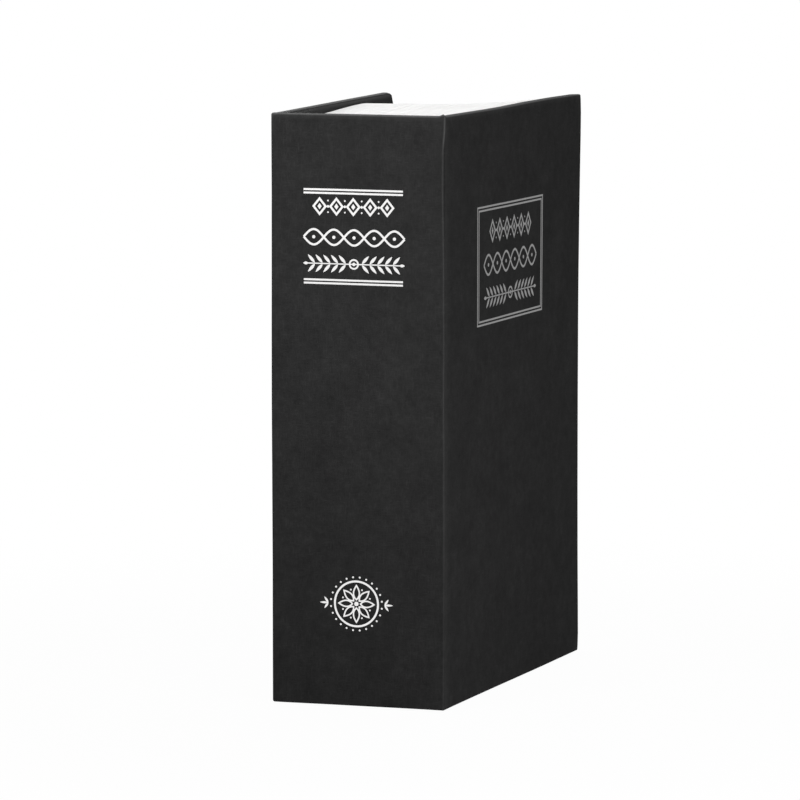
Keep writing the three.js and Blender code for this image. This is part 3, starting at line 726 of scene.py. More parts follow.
def make_cover(side, body, to_row):
    outside, inward = (-HALF, 1) if side == "back" else (HALF, -1)
    inner = outside + inward * WRAP
    ends = sorted((outside, inner))
    lows, highs = (ends[0], COVER_Y0, 0), (ends[1], FORE_Y, HEIGHT)
    y1 = FORE_Y - INSET

    def shape(point):
        return fuller_corner(point, lows, highs, inner)

    def to_point(y, z, depth):
        return Vector((outside + inward * depth, y, z))

    def on_sheet(y, z, depth):
        high_up = clamp((z - HEIGHT + TRIM_HIGH) / (TRIM_HIGH - INSET))
        trimmed = TRIM * soft_step((y - y1 + TRIM_START) / TRIM_RUN) if side == "back" else 0.0
        return to_point(y, z - trimmed * high_up, depth)

    rim = HEAD_RIM[side]
    covering(f"{side}_cover_wrap", lows, highs, body, to_row, f"{side}_wrap", rim, FORE_RIM, shape)
    skin = Vector((PAPER, PAPER, PAPER))
    board_lows, board_highs = Vector(lows) + skin, Vector(highs) - skin
    points, faces = rounded_box(board_lows, board_highs, PAPER, BOARD_CELL)
    shaped = [warp(fuller_corner(p, board_lows, board_highs, inner)) for p in points]
    board = add_mesh(f"{side}_grey_board", shaped, faces, FINISH["greyboard"], to_row)
    finish_piece(board, body, "greyboard", f"{side}_board")
    turn_ins(f"{side}_turn_in", COVER_Y0 + EDGE, FORE_Y - EDGE, to_point, body, to_row, shape)
    y0 = COVER_Y0 + INSET
    pasted_sheet(f"{side}_lining", y0, y1, FORE_Y, on_sheet, body, to_row, f"{side}_endpaper")


def on_spine(x, z, depth):
    return Vector((x, SPINE_Y + depth, z))


def make_spine():
    side = HALF - SPINE_INSET
    lows, highs = (-side, SPINE_Y, 0), (side, SPINE_Y + WRAP, HEIGHT)
    covering("spine_cover_wrap", lows, highs, "spine", place, "spine_wrap", HEAD_RIM["spine"])
    turn_ins("spine_turn_in", EDGE - side, side - EDGE, on_spine, "spine", place)
    ends = (INSET - HALF, HALF - INSET)
    pasted_sheet("spine_strip", *ends, math.inf, on_spine, "spine", place, "spine_lining")


# The covering where it bends round the spine's two corners
FOLD_ROUND = 0.85
FOLD_REACH = 6.5
FOLD_LINES = (FOLD_REACH, 5.5, 4.6, 3.8, 3.0, 2.3, 1.8, 1.5, 1.3, 1.15, 1.0)
FOLD_TURNS = 14
FOLD_LEVELS = 90
FOLD_BEND = 1.3
FOLD_LIFT = 0.045
FOLD_LIFT_SHARE = 0.45
FOLD_SINK = 0.07
FOLD_SINK_SHARE = 0.6
SKIN = 0.24

# The ridge along a fold: its width, that of the painted highlight on it, and where it wanders
RIDGE = 0.34
RIDGE_LIGHT = 0.24
RIDGE_SIDE = 0.1
RIDGE_SWELL_SHARE = 0.3
RIDGE_SWELL_SIZE = 5
WANDER = 0.14
WANDER_SIZE = 22
WANDER_HEAD = 0.4
WANDER_HEAD_LOW = 20
WANDER_TIP = 0.36
WANDER_TIP_LOW = 10
WANDER_TIP_RUN = 6

# The folds' tips at the head, and the back fold's lean towards the pages
TIP_LOW = 3
TIP_SIDE = 0.35
BACK_TIP_START = 1.5
BACK_TIP_RUN = 3
LEAN = 0.32
LEAN_LOW = 42
LEAN_POWER = 1.4
LEAN_REACH = 2.5

# How strong the painted highlight on the front fold's ridge is: everywhere, more at the head, less at the foot,
# and beside it
RIDGE_GREY = 0.08
RIDGE_GREY_HEAD = 0.15
RIDGE_GREY_FOOT = 0.035
RIDGE_HEAD_LOW = 11
RIDGE_HEAD_RUN = 5
RIDGE_FOOT_RUN = 30
BESIDE_GREY = 0.032
BESIDE_START = 0.2
BESIDE_REACH = 1.5


def fold_section():
    """Stations round the corner: (distance from the corner's middle, outline point, outward direction).
    The corner is at (0, 0), the spine's face runs along -a, and the cover's side along +b."""
    r = FOLD_ROUND
    quarter = math.pi / 2 * r
    stations = []
    for a in FOLD_LINES:
        stations.append((-(a - r) - quarter / 2, Vector((-a, 0)), Vector((0, -1))))
    for k in range(FOLD_TURNS + 1):
        angle = math.pi / 2 * k / FOLD_TURNS
        away = Vector((math.sin(angle), -math.cos(angle)))
        stations.append((quarter * (k / FOLD_TURNS - 0.5), Vector((-r, r)) + away * r, away))
    for a in reversed(FOLD_LINES):
        stations.append(((a - r) + quarter / 2, Vector((0, a)), Vector((1, 0))))
    return stations


def head_profile():
    """Stations up the book: (height, how far the paper has turned in over the edge)."""
    turns = [math.pi / 2 * k / ARC for k in range(ARC, 0, -1)]
    low = [(EDGE * (1 - math.sin(turn)), EDGE * (1 - math.cos(turn))) for turn in turns]
    start, end = EDGE + NEAR, HEIGHT - EDGE - NEAR
    middle = [(start + (end - start) * k / FOLD_LEVELS, 0.0) for k in range(FOLD_LEVELS + 1)]
    high = [(HEIGHT - z, turned) for z, turned in reversed(low)]
    return [*low, (EDGE, 0.0), *middle, (HEIGHT - EDGE, 0.0), *high]


def crease_wander(height, sign):
    """Where the crease runs beside the corner's middle. It nears the cover at the head."""
    wander = WANDER * noise.noise(Vector((height / WANDER_SIZE, ROW["wander"], sign)))
    wander -= WANDER_HEAD * math.exp(-(((height - HEIGHT + WANDER_HEAD_LOW) / WANDER_SIZE) ** 2))
    return wander - RIDGE_SIDE + WANDER_TIP * soft_step((height - HEIGHT + WANDER_TIP_LOW) / WANDER_TIP_RUN)


def fold_light(height, along, sign):
    """How strong the painted highlight on the covering is: on the head's rim, and on the front fold also along the
    ridge and beside it.
    """
    on_head = HEAD_RIM["spine"] * head_rim(height)
    if sign < 0:
        return on_head
    on_ridge = math.exp(-(((along - crease_wander(height, sign)) / RIDGE_LIGHT) ** 2))
    bright = RIDGE_GREY + RIDGE_GREY_HEAD * soft_step((height - HEIGHT + RIDGE_HEAD_LOW) / RIDGE_HEAD_RUN)
    bright -= RIDGE_GREY_FOOT * soft_step((HEIGHT / 3 - height) / RIDGE_FOOT_RUN)
    beside = BESIDE_GREY * math.exp(-max(0.0, along - 1) / BESIDE_REACH) if along > BESIDE_START else 0.0
    return max(on_ridge * bright, beside, on_head)


def make_fold(name, sign, a_body, node, ridge, tip):
    """A strip of covering round a corner of the spine, with a ridge along it and a raised or sunk tip."""
    pivot = FRONT_FOLD if sign > 0 else BACK_FOLD
    corner_x = sign * HALF
    stations, levels = fold_section(), head_profile()
    reach = stations[-1][0]
    outer, inner, light = [], [], []
    for height, turned in levels:
        wander = crease_wander(height, sign)
        swell = noise.noise(Vector((height / RIDGE_SWELL_SIZE, ROW["swell"], sign)))
        high_up = max(0.0, (height - HEIGHT + LEAN_LOW) / LEAN_LOW) ** LEAN_POWER
        for along, flat, away in stations:
            share = abs(along) / reach
            lift = FOLD_LIFT * (1 - soft_step((share - FOLD_LIFT_SHARE) / FOLD_LIFT_SHARE))
            lift -= FOLD_SINK * soft_step((share - FOLD_SINK_SHARE) / (1 - FOLD_SINK_SHARE))
            bead = ridge * (1 + RIDGE_SWELL_SHARE * swell) * math.exp(-(((along - wander) / RIDGE) ** 2))
            rise = tip * math.exp(-((along + TIP_SIDE) ** 2))
            lean = 0.0
            if sign < 0:
                rise -= BACK_LOW * soft_step((along + BACK_TIP_START) / BACK_TIP_RUN)
                lean = LEAN * high_up * math.exp(-((along / LEAN_REACH) ** 2))
            rise *= soft_step((height - HEIGHT + TIP_LOW) / TIP_LOW)
            for store, offset in ((outer, lift + bead - turned), (inner, lift - SKIN - turned)):
                at = flat + away * offset
                store.append(Vector((corner_x + sign * at.x + lean, SPINE_Y + at.y, height + rise)))
            light.append(fold_light(height, along, sign))

    # The front cover rests ajar by that same share.
    start = Vector((pivot.x - sign * FOLD_BEND, pivot.y, 0))
    end = start + Vector((sign * FOLD_BEND, FOLD_BEND, 0))
    if a_body == "block":
        start, end = end, start

    def ajar(point):
        if sign < 0:
            return place(point)
        closed = Vector((point[0] + SHIFT, point[1], point[2]))
        share = soft_step((closed - start).dot(end - start) / (end - start).length_squared)
        return swung(closed, pivot, AJAR * share)

    points = [warp(p) for p in outer + inner]
    faces = shell_faces(len(levels), len(stations))
    obj = add_mesh(name, points, faces, FINISH["cover_paper"], ajar, True)
    # Painted highlight along the front fold's ridge and on the head's rim
    set_share(obj, "painted_highlight", light + [0.0] * len(inner))
    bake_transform(obj)
    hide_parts(node)


make_cover("back", "block", place_back)
make_cover("front", "front_cover", place_swung)
make_spine()
make_fold("front_fold", 1, "spine", "front_joint", 0.15, 0.55)
make_fold("back_fold", -1, "block", "back_joint", 0.04, -0.25)


# The page block: printed-page grooves round its three outer sides, and the rooms for the box and its lid
BLOCK_X0 = low_of("page_frame").x - SHIFT
BLOCK_X1 = high_of("page_frame").x - SHIFT
PAGE_Y0 = low_of("page_frame").y
PAGE_Y1 = high_of("page_frame").y
MARGIN = INSET
HOLLOW = 1.2
PAGE_CORNER = 0.5
DEPTH_STEPS = 44
HEIGHT_STEPS = 30
SHEETS = 118
GATHERING = 16

# A sheet's edge lies at a share of its depth that varies along it. Its sides read other parts of the noise.
SINK_SHARE = 0.8
SINK_SWING = 0.4
SINK_SIZE = 17
CORNER_AT = 5
FORE_AT = 40
HEAD_AT = 9

# The swell of the pages' head, at the back cover and at the front cover, along the shares of their depth
CROWN_BACK = 0.96
CROWN_AT_SHARE = 0.72
CROWN_REACH_SHARE = 0.5
CROWN_FALL = 2.3
FALL_AT_SHARE = 0.705
FALL_REACH_SHARE = 0.3
CROWN_FRONT = 1.83
FRONT_AT_SHARE = 0.1
FRONT_REACH_SHARE = 0.5
FRONT_FALL = 0.3
FRONT_FALL_AT_SHARE = 0.8
EVEN_SHARE = 0.25


def page_crown(x, y):
    """How far the pages swell past the margin. Near the back cover they fall away towards the fore edge."""
    along = (y - PAGE_Y0) / (PAGE_Y1 - PAGE_Y0)
    forward = (x - BLOCK_X0) / (BLOCK_X1 - BLOCK_X0)
    before_top = clamp((CROWN_AT_SHARE - along) / CROWN_REACH_SHARE)
    back = CROWN_BACK * math.cos(before_top * math.pi / 2) ** 2
    back -= CROWN_FALL * soft_step((along - FALL_AT_SHARE) / FALL_REACH_SHARE)
    front = CROWN_FRONT * soft_step((along - FRONT_AT_SHARE) / FRONT_REACH_SHARE)
    front -= FRONT_FALL * soft_step((along - FRONT_FALL_AT_SHARE) / (1 - FRONT_FALL_AT_SHARE))
    share = EVEN_SHARE * forward + (1 - EVEN_SHARE) * max(0.0, 2 * forward - 1)
    return back + (front - back) * share


def page_section(x, sink, seed):
    """One sheet's outline, sunk by a depth that varies along it."""
    across = (2 * x - BLOCK_X0 - BLOCK_X1) / (BLOCK_X1 - BLOCK_X0)
    fore = PAGE_Y1 - HOLLOW * (1 - across**2)
    ys = [PAGE_Y0 + (fore - PAGE_Y0) * k / DEPTH_STEPS for k in range(DEPTH_STEPS)]

    def depth(place_on):
        swing = noise.noise(Vector((place_on / SINK_SIZE, seed, ROW["pages"])))
        return sink * (SINK_SHARE + SINK_SWING * swing)

    tail = MARGIN - page_crown(x, fore)
    low, high = tail + PAGE_CORNER, HEIGHT - tail - PAGE_CORNER
    loop = [(y, MARGIN - page_crown(x, y) + depth(y)) for y in ys]
    loop += [(fore - PAGE_CORNER, tail + depth(0)), (fore - depth(CORNER_AT), low)]
    for k in range(1, HEIGHT_STEPS):
        z = low + (HEIGHT - 2 * tail - 2 * PAGE_CORNER) * k / HEIGHT_STEPS
        loop.append((fore - depth(z + FORE_AT), z))
    loop += [(fore - depth(CORNER_AT), high), (fore - PAGE_CORNER, HEIGHT - tail - depth(0))]
    loop += [(y, HEIGHT - MARGIN + page_crown(x, y) - depth(y + HEAD_AT)) for y in reversed(ys)]
    return [Vector((x, y, z)) for y, z in loop]


def loft(sections):
    """Points and faces of a closed form through loops of points, with a face at each end."""
    count = len(sections[0])
    faces = [tuple(range(count)), tuple(reversed(range(count * (len(sections) - 1), count * len(sections))))]
    for k in range(len(sections) - 1):
        for i in range(count):
            a, b = k * count + i, k * count + (i + 1) % count
            faces.append((a, b, b + count, a + count))
    return [point for section in sections for point in section], faces


def rounded_room(ys, zs, xs, radii=(0, 0, 0, 0), steps=8):
    """Points and faces of a prism along x whose (y, z) outline has rounded corners, low to high."""
    corners = ((0, 0), (1, 0), (1, 1), (0, 1))
    outline = []
    for quarter, ((right, up), radius) in enumerate(zip(corners, radii)):
        y = ys[right] + (1 - 2 * right) * radius
        z = zs[up] + (1 - 2 * up) * radius
        for k in range(steps + 1) if radius else range(1):
            angle = math.pi * (1 + quarter / 2) + math.pi / 2 * k / steps
            outline.append((y + radius * math.cos(angle), z + radius * math.sin(angle)))
    return loft([[Vector((x, y, z)) for y, z in outline] for x in xs])


def carve(obj, cutters):
    for k, (points, faces) in enumerate(cutters):
        tool = add_mesh(f"cutter_{k}", points, faces, None)
        cut = obj.modifiers.new("cut", "BOOLEAN")
        cut.operation = "DIFFERENCE"
        cut.solver = "MANIFOLD"
        cut.object = tool
        bake_modifiers(obj)
        bpy.data.objects.remove(tool)


# Gaps round the steel box and the lid, the frame's spine wall, and how far a cutter runs past
BOX_FIT = 0.3
LID_SWING = 0.5
BOX_CORNER = 2.5
LID_CORNER = 3.9
BOX_FROM_FOLD = 6.2
SPINE_WALL = 1.8
SPINE_WALL_LENGTH = 10
HINGE_SIDE = 1
HINGE_ROOM = 4.88
PAST = 2

# How deep the sheets' edges and the grooves between them lie. A gathering's groove is deeper.
CREST = (0.0, 0.03)
GROOVE = (0.05, 0.12)
GROOVE_AT_SHARE = (0.42, 0.58)
GATHERING_GROOVE_SHARE = 1.7
GATHERING_SHEET = 9
BACK_SUNK = 0.1
FRONT_SUNK = 0.12
PAGE_SEED = 11


def make_pages():
    rng = random.Random(PAGE_SEED)
    pitch = (BLOCK_X1 - BLOCK_X0) / SHEETS
    sections = [page_section(BLOCK_X0, BACK_SUNK, 0)]
    for k in range(SHEETS):
        x = BLOCK_X0 + pitch * (k + 0.5)
        groove = rng.uniform(*GROOVE) * (GATHERING_GROOVE_SHARE if k % GATHERING == GATHERING_SHEET else 1)
        crest = rng.uniform(*CREST)
        sections.append(page_section(x, crest, k))
        if k < SHEETS - 1:
            sections.append(page_section(x + pitch * rng.uniform(*GROOVE_AT_SHARE), groove, k + 0.5))
    sections.append(page_section(BLOCK_X1, FRONT_SUNK, SHEETS))
    points, faces = loft(sections)
    obj = add_mesh("page_block", points, faces, FINISH["page_plastic"])

    # The rooms follow the steel box and its lid
    tray_low, tray_high = low_of("box_tray"), high_of("box_tray")
    lid_low, lid_high = low_of("box_lid"), high_of("box_lid")
    room_y0 = COVER_Y0 + BOX_FROM_FOLD - BOX_FIT
    past_y, past_x = PAGE_Y0 - PAST, BLOCK_X1 + PAST
    wall_zs = (tray_low.z + SPINE_WALL_LENGTH, tray_high.z - SPINE_WALL_LENGTH)
    lid_zs = (lid_low.z - LID_SWING, lid_high.z + LID_SWING)
    carve(obj, [
        rounded_room(
            (room_y0, tray_high.y + BOX_FIT),
            (tray_low.z - BOX_FIT, tray_high.z + BOX_FIT),
            (tray_low.x - SHIFT, past_x),
            (BOX_CORNER,) * 4,
        ),
        rounded_room(
            (room_y0, lid_high.y + LID_SWING),
            lid_zs,
            (lid_low.x - SHIFT - LID_SWING, past_x),
            (0, LID_CORNER, LID_CORNER, 0),
        ),
        rounded_room((past_y, room_y0 - SPINE_WALL), wall_zs, (BLOCK_X0 - PAST, past_x)),
        rounded_room(
            (past_y, room_y0 + HINGE_SIDE),
            lid_zs,
            (low_of("hinge_pin").x - SHIFT - HINGE_ROOM, past_x),
        ),
    ])
    smooth_by_angle(obj, 24)
    finish_piece(obj, "block", "page_plastic", "page_frame")


make_pages()


# Foil stamping. A drawing is a list of shapes, each of them flat points and faces in (a, b), in millimetres.
# Inside a drawing, a bare number is a share of its row's height or pitch, its radius or its stroke.
def ribbon(path, width, closed=False):
    """A stroke of even width along a path, mitred at its corners."""
    points, count = [], len(path)
    for k in range(count):
        here = Vector(path[k])
        before = Vector(path[k - 1]) if k or closed else None
        after = Vector(path[(k + 1) % count]) if k < count - 1 or closed else None
        into = (here - before).normalized() if before is not None else None
        out = (after - here).normalized() if after is not None else None
        into, out = into or out, out or into
        along = (into + out).normalized()
        side = Vector((-along.y, along.x))
        half = width / 2 / max(0.45, abs(side.dot(Vector((-into.y, into.x)))))
        points += [here + side * half, here - side * half]
    faces = []
    for k in range(count if closed else count - 1):
        a, b = 2 * k, 2 * ((k + 1) % count)
        faces.append((a, a + 1, b + 1, b))
    return points, faces


def filled(outline):
    return [Vector(point) for point in outline], [tuple(range(len(outline)))]


def circle(a, b, radius, steps=20):
    turns = [2 * math.pi * k / steps for k in range(steps)]
    return [(a + radius * math.cos(t), b + radius * math.sin(t)) for t in turns]


def bead(a, b, radius, steps=20):
    return filled(circle(a, b, radius, steps))


def leaf(a, b, length, width, angle, steps=9):
    """A pointed leaf that grows from (a, b)."""
    sides = []
    for sign in (1, -1):
        run = range(steps + 1) if sign > 0 else range(steps - 1, 0, -1)
        for k in run:
            t = k / steps
            sides.append((length * t, sign * width / 2 * math.sin(math.pi * t**0.85) ** 0.9))
    c, s = math.cos(angle), math.sin(angle)
    return [(a + u * c - v * s, b + u * s + v * c) for u, v in sides]


def straight(a0, b0, a1, b1, width, steps=24):
    return ribbon([(a0 + (a1 - a0) * k / steps, b0 + (b1 - b0) * k / steps) for k in range(steps + 1)], width)


def frame_path(a0, a1, b0, b1, steps=30):
    """A rectangle as a path with enough points to follow the paper."""
    corners = [(a0, b0), (a1, b0), (a1, b1), (a0, b1)]
    path = []
    for k, (a, b) in enumerate(corners):
        c, d = corners[(k + 1) % 4]
        path += [(a + (c - a) * i / steps, b + (d - b) * i / steps) for i in range(steps)]
    return path


def lozenge(a, b, wide, tall):
    return [(a - wide, b), (a, b - tall), (a + wide, b), (a, b + tall)]


def lozenge_row(a0, a1, b, tall, stroke):
    """A chain of lozenges with a bead between each two."""
    shapes = []
    count = max(3, round((a1 - a0) / (tall * 0.92)))
    pitch = (a1 - a0) / count
    for k in range(count):
        a = a0 + pitch * (k + 0.5)
        wide, high = pitch * 0.36, tall / 2 - stroke / 2
        shapes.append(ribbon(lozenge(a, b, wide, high), stroke, True))
        shapes.append(filled(lozenge(a, b, wide * 0.34, high * 0.4)))
        if k < count - 1:
            shapes.append(bead(a + pitch / 2, b, stroke * 0.62))
            shapes += [bead(a + pitch / 2, b + up * tall * 0.33, stroke * 0.42, 14) for up in (1, -1)]
    return shapes


def plait_row(a0, a1, b, tall, stroke):
    """Two waves that cross, with a bead in each eye."""
    eyes = max(4, round((a1 - a0) / (tall * 1.12)))
    steps = eyes * 12
    swing = (tall - stroke) / 2
    shapes = []
    for sign in (1, -1):
        wave = []
        for k in range(steps + 1):
            t = k / steps
            wave.append((a0 + (a1 - a0) * t, b + sign * swing * math.sin(math.pi * eyes * t)))
        shapes.append(ribbon(wave, stroke))
    return shapes + [bead(a0 + (a1 - a0) * (k + 0.5) / eyes, b, stroke * 0.8) for k in range(eyes)]


def laurel_row(a0, a1, b, tall, stroke):
    """Two sprays of leaves that meet at a bead in the middle."""
    middle = (a0 + a1) / 2
    reach = (a1 - a0) / 2
    pairs = max(4, round(reach / (tall * 0.46)))
    shapes = [straight(a0 + reach * 0.06, b, a1 - reach * 0.06, b, stroke * 0.55)]
    for side in (1, -1):
        for k in range(pairs):
            at = middle + side * reach * (0.16 + 0.76 * k / pairs)
            for up in (1, -1):
                angle = up * math.radians(48)
                if side < 0:
                    angle = math.pi - angle
                shapes.append(filled(leaf(at, b + up * stroke * 0.3, tall * 0.52, tall * 0.145, angle)))
        tip = middle + side * reach * 0.9
        shapes.append(filled(leaf(tip, b, reach * 0.1, tall * 0.14, 0 if side > 0 else math.pi)))
    shapes.append(ribbon(circle(middle, b, tall * 0.21), stroke * 0.8, True))
    shapes.append(bead(middle, b, tall * 0.08))
    return shapes


def rosette(a, b, radius, stroke):
    """Eight petals in a beaded ring, with a spray to each side."""
    shapes = [ribbon(circle(a, b, radius * 0.8, 56), stroke, True)]
    for k in range(8):
        angle = math.pi / 4 * k
        c, s = math.cos(angle), math.sin(angle)
        petal = leaf(a + radius * 0.15 * c, b + radius * 0.15 * s, radius * 0.5, radius * 0.22, angle)
        shapes.append(ribbon(petal, stroke * 0.72, True))
        beads = angle + math.pi / 8
        at = (a + radius * 0.54 * math.cos(beads), b + radius * 0.54 * math.sin(beads))
        shapes.append(bead(*at, stroke * 0.45, 12))
    for k in range(24):
        angle = math.pi / 12 * (k + 0.5)
        at = (a + radius * 0.95 * math.cos(angle), b + radius * 0.95 * math.sin(angle))
        shapes.append(bead(*at, stroke * 0.5, 12))
    shapes.append(bead(a, b, radius * 0.08, 16))
    for side in (1, -1):
        base = 0 if side > 0 else math.pi
        at = a + side * radius * 1.04
        for turn, length in ((0.95, 0.26), (-0.95, 0.26), (0, 0.32)):
            shapes.append(filled(leaf(at, b, radius * length, radius * 0.075, base + side * turn)))
    return shapes


# How high foil stands over the paper, how much higher each next shape does, and how deep its foot lies
FOIL_LIFT = 0.03
FOIL_STEP = 0.0004
FOIL_DEPTH = 0.05

# The spine's panel: its rules, then its rows as (drawing, left, right, middle height, height)
RULE = 0.578
STROKE = 0.632
SPINE_RULE = (-17.0, 14.4)
SPINE_RULES = (157.25, 156.21, 129.98, 128.95)
SPINE_ROWS = (
    (lozenge_row, -14.6, 12.1, 152.2, 5.3),
    (plait_row, -17.0, 14.9, 142.9, 5.3),
    (laurel_row, -17.2, 15.0, 134.9, 6.4),
)

# The spine's rosette: its middle, its radius and its stroke
ROSETTE = (-0.4, 31.5, 8.6, 0.6)

# The front cover's panel: a double rule round it, and rows set in from its sides
PANEL = (-31.2, 24.15, 114.1, 150.67)
PANEL_RULE = 0.55
PANEL_PITCH = 1.08
PANEL_STROKE = 0.72
PANEL_ROWS = (
    (lozenge_row, 9.5, 142.6, 7.0),
    (plait_row, 5.5, 132.4, 6.8),
    (laurel_row, 5.5, 122.4, 7.8),
)


def foil_piece(name, shapes, to_point, material, body, to_row):
    """Foil lies on the paper, which it follows, and each shape lies a hair above the one before."""
    points, faces = [], []
    for k, (flat, sides) in enumerate(shapes):
        start, count = len(points), len(flat)
        for depth in (-FOIL_LIFT - FOIL_STEP * k, FOIL_DEPTH):
            points += [warp(to_point(a, b, depth)) for a, b in flat]
        edges = {}
        for side in sides:
            faces.append(tuple(i + start for i in side))
            faces.append(tuple(i + start + count for i in reversed(side)))
            for i, a in enumerate(side):
                b = side[(i + 1) % len(side)]
                if edges.pop((b, a), None) is None:
                    edges[(a, b)] = True
        faces += [(b + start, a + start, a + start + count, b + start + count) for a, b in edges]
    finish_piece(add_mesh(name, points, faces, material, to_row), body)


def on_cover(y, z, depth):
    return Vector((HALF - depth, y, z))


def make_spine_foil():
    left, right = SPINE_RULE
    shapes = [straight(left, z, right, z, RULE, 30) for z in SPINE_RULES]
    for draw, *where in SPINE_ROWS:
        shapes += draw(*where, STROKE)
    foil_piece("spine_panel_foil", shapes, on_spine, SPINE_FOIL, "spine", place)
    foil_piece("spine_rosette_foil", rosette(*ROSETTE), on_spine, SPINE_FOIL, "spine", place)


def make_cover_foil():
    y0, y1, z0, z1 = PANEL
    shapes = []
    for inset in (PANEL_RULE / 2, PANEL_RULE / 2 + PANEL_PITCH):
        path = frame_path(y0 + inset, y1 - inset, z0 + inset, z1 - inset)
        shapes.append(ribbon(path, PANEL_RULE, True))
    for draw, inset, z, tall in PANEL_ROWS:
        shapes += draw(y0 + inset, y1 - inset, z, tall, PANEL_STROKE)
    foil_piece("cover_panel_foil", shapes, on_cover, SHADED_COVER_FOIL, "front_cover", place_swung)


make_spine_foil()
make_cover_foil()


# The cam lock: its body, and the plug with the keyway
LOCK_Y = KEY_AXIS.y
LOCK_Z = KEY_AXIS.z
LID_X = high_of("box_lid").x - SHIFT
FACE_X = high_of("lock_plug").x - SHIFT
BODY_X = low_of("lock_housing").x - SHIFT
END_X = low_of("lock_plug").x - SHIFT
FLANGE_RADIUS = (high_of("lock_housing").z - low_of("lock_housing").z) / 2
PLUG_RIM = (high_of("lock_plug").z - low_of("lock_plug").z) / 2
PLUG_PROUD = 0.2
FLANGE_X = FACE_X - PLUG_PROUD
BODY_RADIUS = 8
BODY_FLAT = 6.8
PLUG_RADIUS = 5.6
PLUG_RUN = 0.1
RIM_SEAT = 0.9
RIM_HEIGHT = 0.8
BREAK = 0.12
LOCK_SIDES = 96

# The flange's outline: steps inwards from its edge and down from its face
FLANGE_STEPS = ((1.5, 0), (1.2, 0.06), (0.75, 0.08), (0.3, 0.36), (0.08, 0.7), (0, 1.0))

# The barrel's thread, and how it runs out at its two ends
THREAD_START = 1.2
THREAD_PITCH = 1.0
THREAD_DEPTH = 0.42
THREAD_STEPS = 6
THREAD_FADE = 0.5
THREAD_END_FADE = 0.4
THREAD_END_SHARE = 0.2

# The keyway: its half width and half height, its depth, its corners, and the wards on its two sides as
# (inward, height)
KEY_WIDE = 0.95
KEY_TALL = 3.8
KEY_DEEP = 10.6
KEY_ROUND = 0.5
RIGHT_WARD = ((0, -1.3), (0.55, -0.95), (0.55, 0.15), (0, 0.5))
LEFT_WARD = ((0, 1.75), (0.5, 1.4), (0.5, 0.6), (0, 0.25))
KEY_BEVEL = 0.15
KEY_BEVEL_SHARES = (1.12, 1.03)

# The plug: steps inwards from its rim and down from its face, and the square end that drives the cam
FACE_SHARES = (0.55, 0.8)
FACE_STEPS = ((1.5, 0), (1.35, 0.12), (1.0, 0.12), (0.85, 0), (0.2, 0), (0.05, 0.06), (0, 0.2))
PLUG_BEVEL = 0.3
DRIVE_HALF = 3
DRIVE_CORNER = 3.9
DRIVE_BEVEL = 0.25
DRIVE_END = 0.2

# The wafers' slots: their room along y, how far they run past the plug, and their room along x
WAFERS = 4
WAFER_SIDE = 0.08
WAFER_PAST = 1
WAFER_ROOM = (0.02, 0.08)


def thread_radius(x, angle):
    phase = (x / THREAD_PITCH + angle / (2 * math.pi)) % 1
    wave = 1 - abs(2 * phase - 1)
    out = (LID_X - THREAD_START - x) / THREAD_FADE
    end = (x - BODY_X) / THREAD_END_FADE + THREAD_END_SHARE
    return BODY_RADIUS - THREAD_DEPTH * wave * max(0.0, min(1.0, out, end))


def make_lock_body():
    """A flange over a threaded barrel with two flats, bored through for the plug."""
    bore, rim, seat_x = PLUG_RADIUS + PLUG_RUN, PLUG_RIM + PLUG_RUN, FLANGE_X - RIM_SEAT
    flange = [(rim, seat_x), (rim, FLANGE_X - BREAK), (rim + BREAK, FLANGE_X)]
    flange += [(FLANGE_RADIUS - inward, FLANGE_X - down) for inward, down in FLANGE_STEPS]
    flange += [(FLANGE_RADIUS, LID_X + BREAK), (FLANGE_RADIUS - BREAK, LID_X), (BODY_RADIUS, LID_X)]
    length = LID_X - THREAD_START - BODY_X
    turns = round(length / THREAD_PITCH * THREAD_STEPS)
    thread = [(BODY_RADIUS, LID_X - THREAD_START - length * k / turns) for k in range(turns + 1)]
    profile = flange + thread + [(bore, BODY_X), (bore, seat_x)]
    first, last, rings = len(flange), len(flange) + len(thread), len(profile)
    points, faces = [], []
    for i in range(LOCK_SIDES):
        angle = 2 * math.pi * i / LOCK_SIDES
        for k, (radius, x) in enumerate(profile):
            if first <= k < last:
                radius = thread_radius(x, angle)
            y, z = radius * math.cos(angle), radius * math.sin(angle)
            if first - 1 <= k < last:
                y = clamp(y, -BODY_FLAT, BODY_FLAT)
            points.append(Vector((x, LOCK_Y + y, LOCK_Z + z)))
        j = (i + 1) % LOCK_SIDES
        for k in range(rings):
            m = (k + 1) % rings
            faces.append((i * rings + k, i * rings + m, j * rings + m, j * rings + k))
    obj = add_mesh("lock_body", points, faces, FINISH["lock_nickel"])
    smooth_by_angle(obj, 32)
    finish_piece(obj, "lid", "lock_nickel", "lock_housing")


def keyway_outline():
    """The keyway's corners, once round. A ward on each side lets in only a key with the same profile."""
    inner, end = KEY_WIDE - KEY_ROUND, KEY_TALL - KEY_ROUND
    outline = [(KEY_WIDE, -end)]
    outline += [(KEY_WIDE - inward, z) for inward, z in RIGHT_WARD]
    outline += [(KEY_WIDE, end), (inner, KEY_TALL), (-inner, KEY_TALL), (-KEY_WIDE, end)]
    outline += [(inward - KEY_WIDE, z) for inward, z in LEFT_WARD]
    return outline + [(-KEY_WIDE, -end), (-inner, -KEY_TALL), (inner, -KEY_TALL)]


def along_outline(outline, shares):
    """Points at given shares of a closed outline's length."""
    closed = [*outline, outline[0]]
    lengths = [0.0]
    for here, after in zip(closed, closed[1:]):
        lengths.append(lengths[-1] + math.dist(here, after))
    found = []
    for share in shares:
        want = share * lengths[-1]
        k = max(i for i in range(len(outline)) if lengths[i] <= want)
        t = (want - lengths[k]) / (lengths[k + 1] - lengths[k])
        found.append(Vector(closed[k]).lerp(Vector(closed[k + 1]), t))
    return found


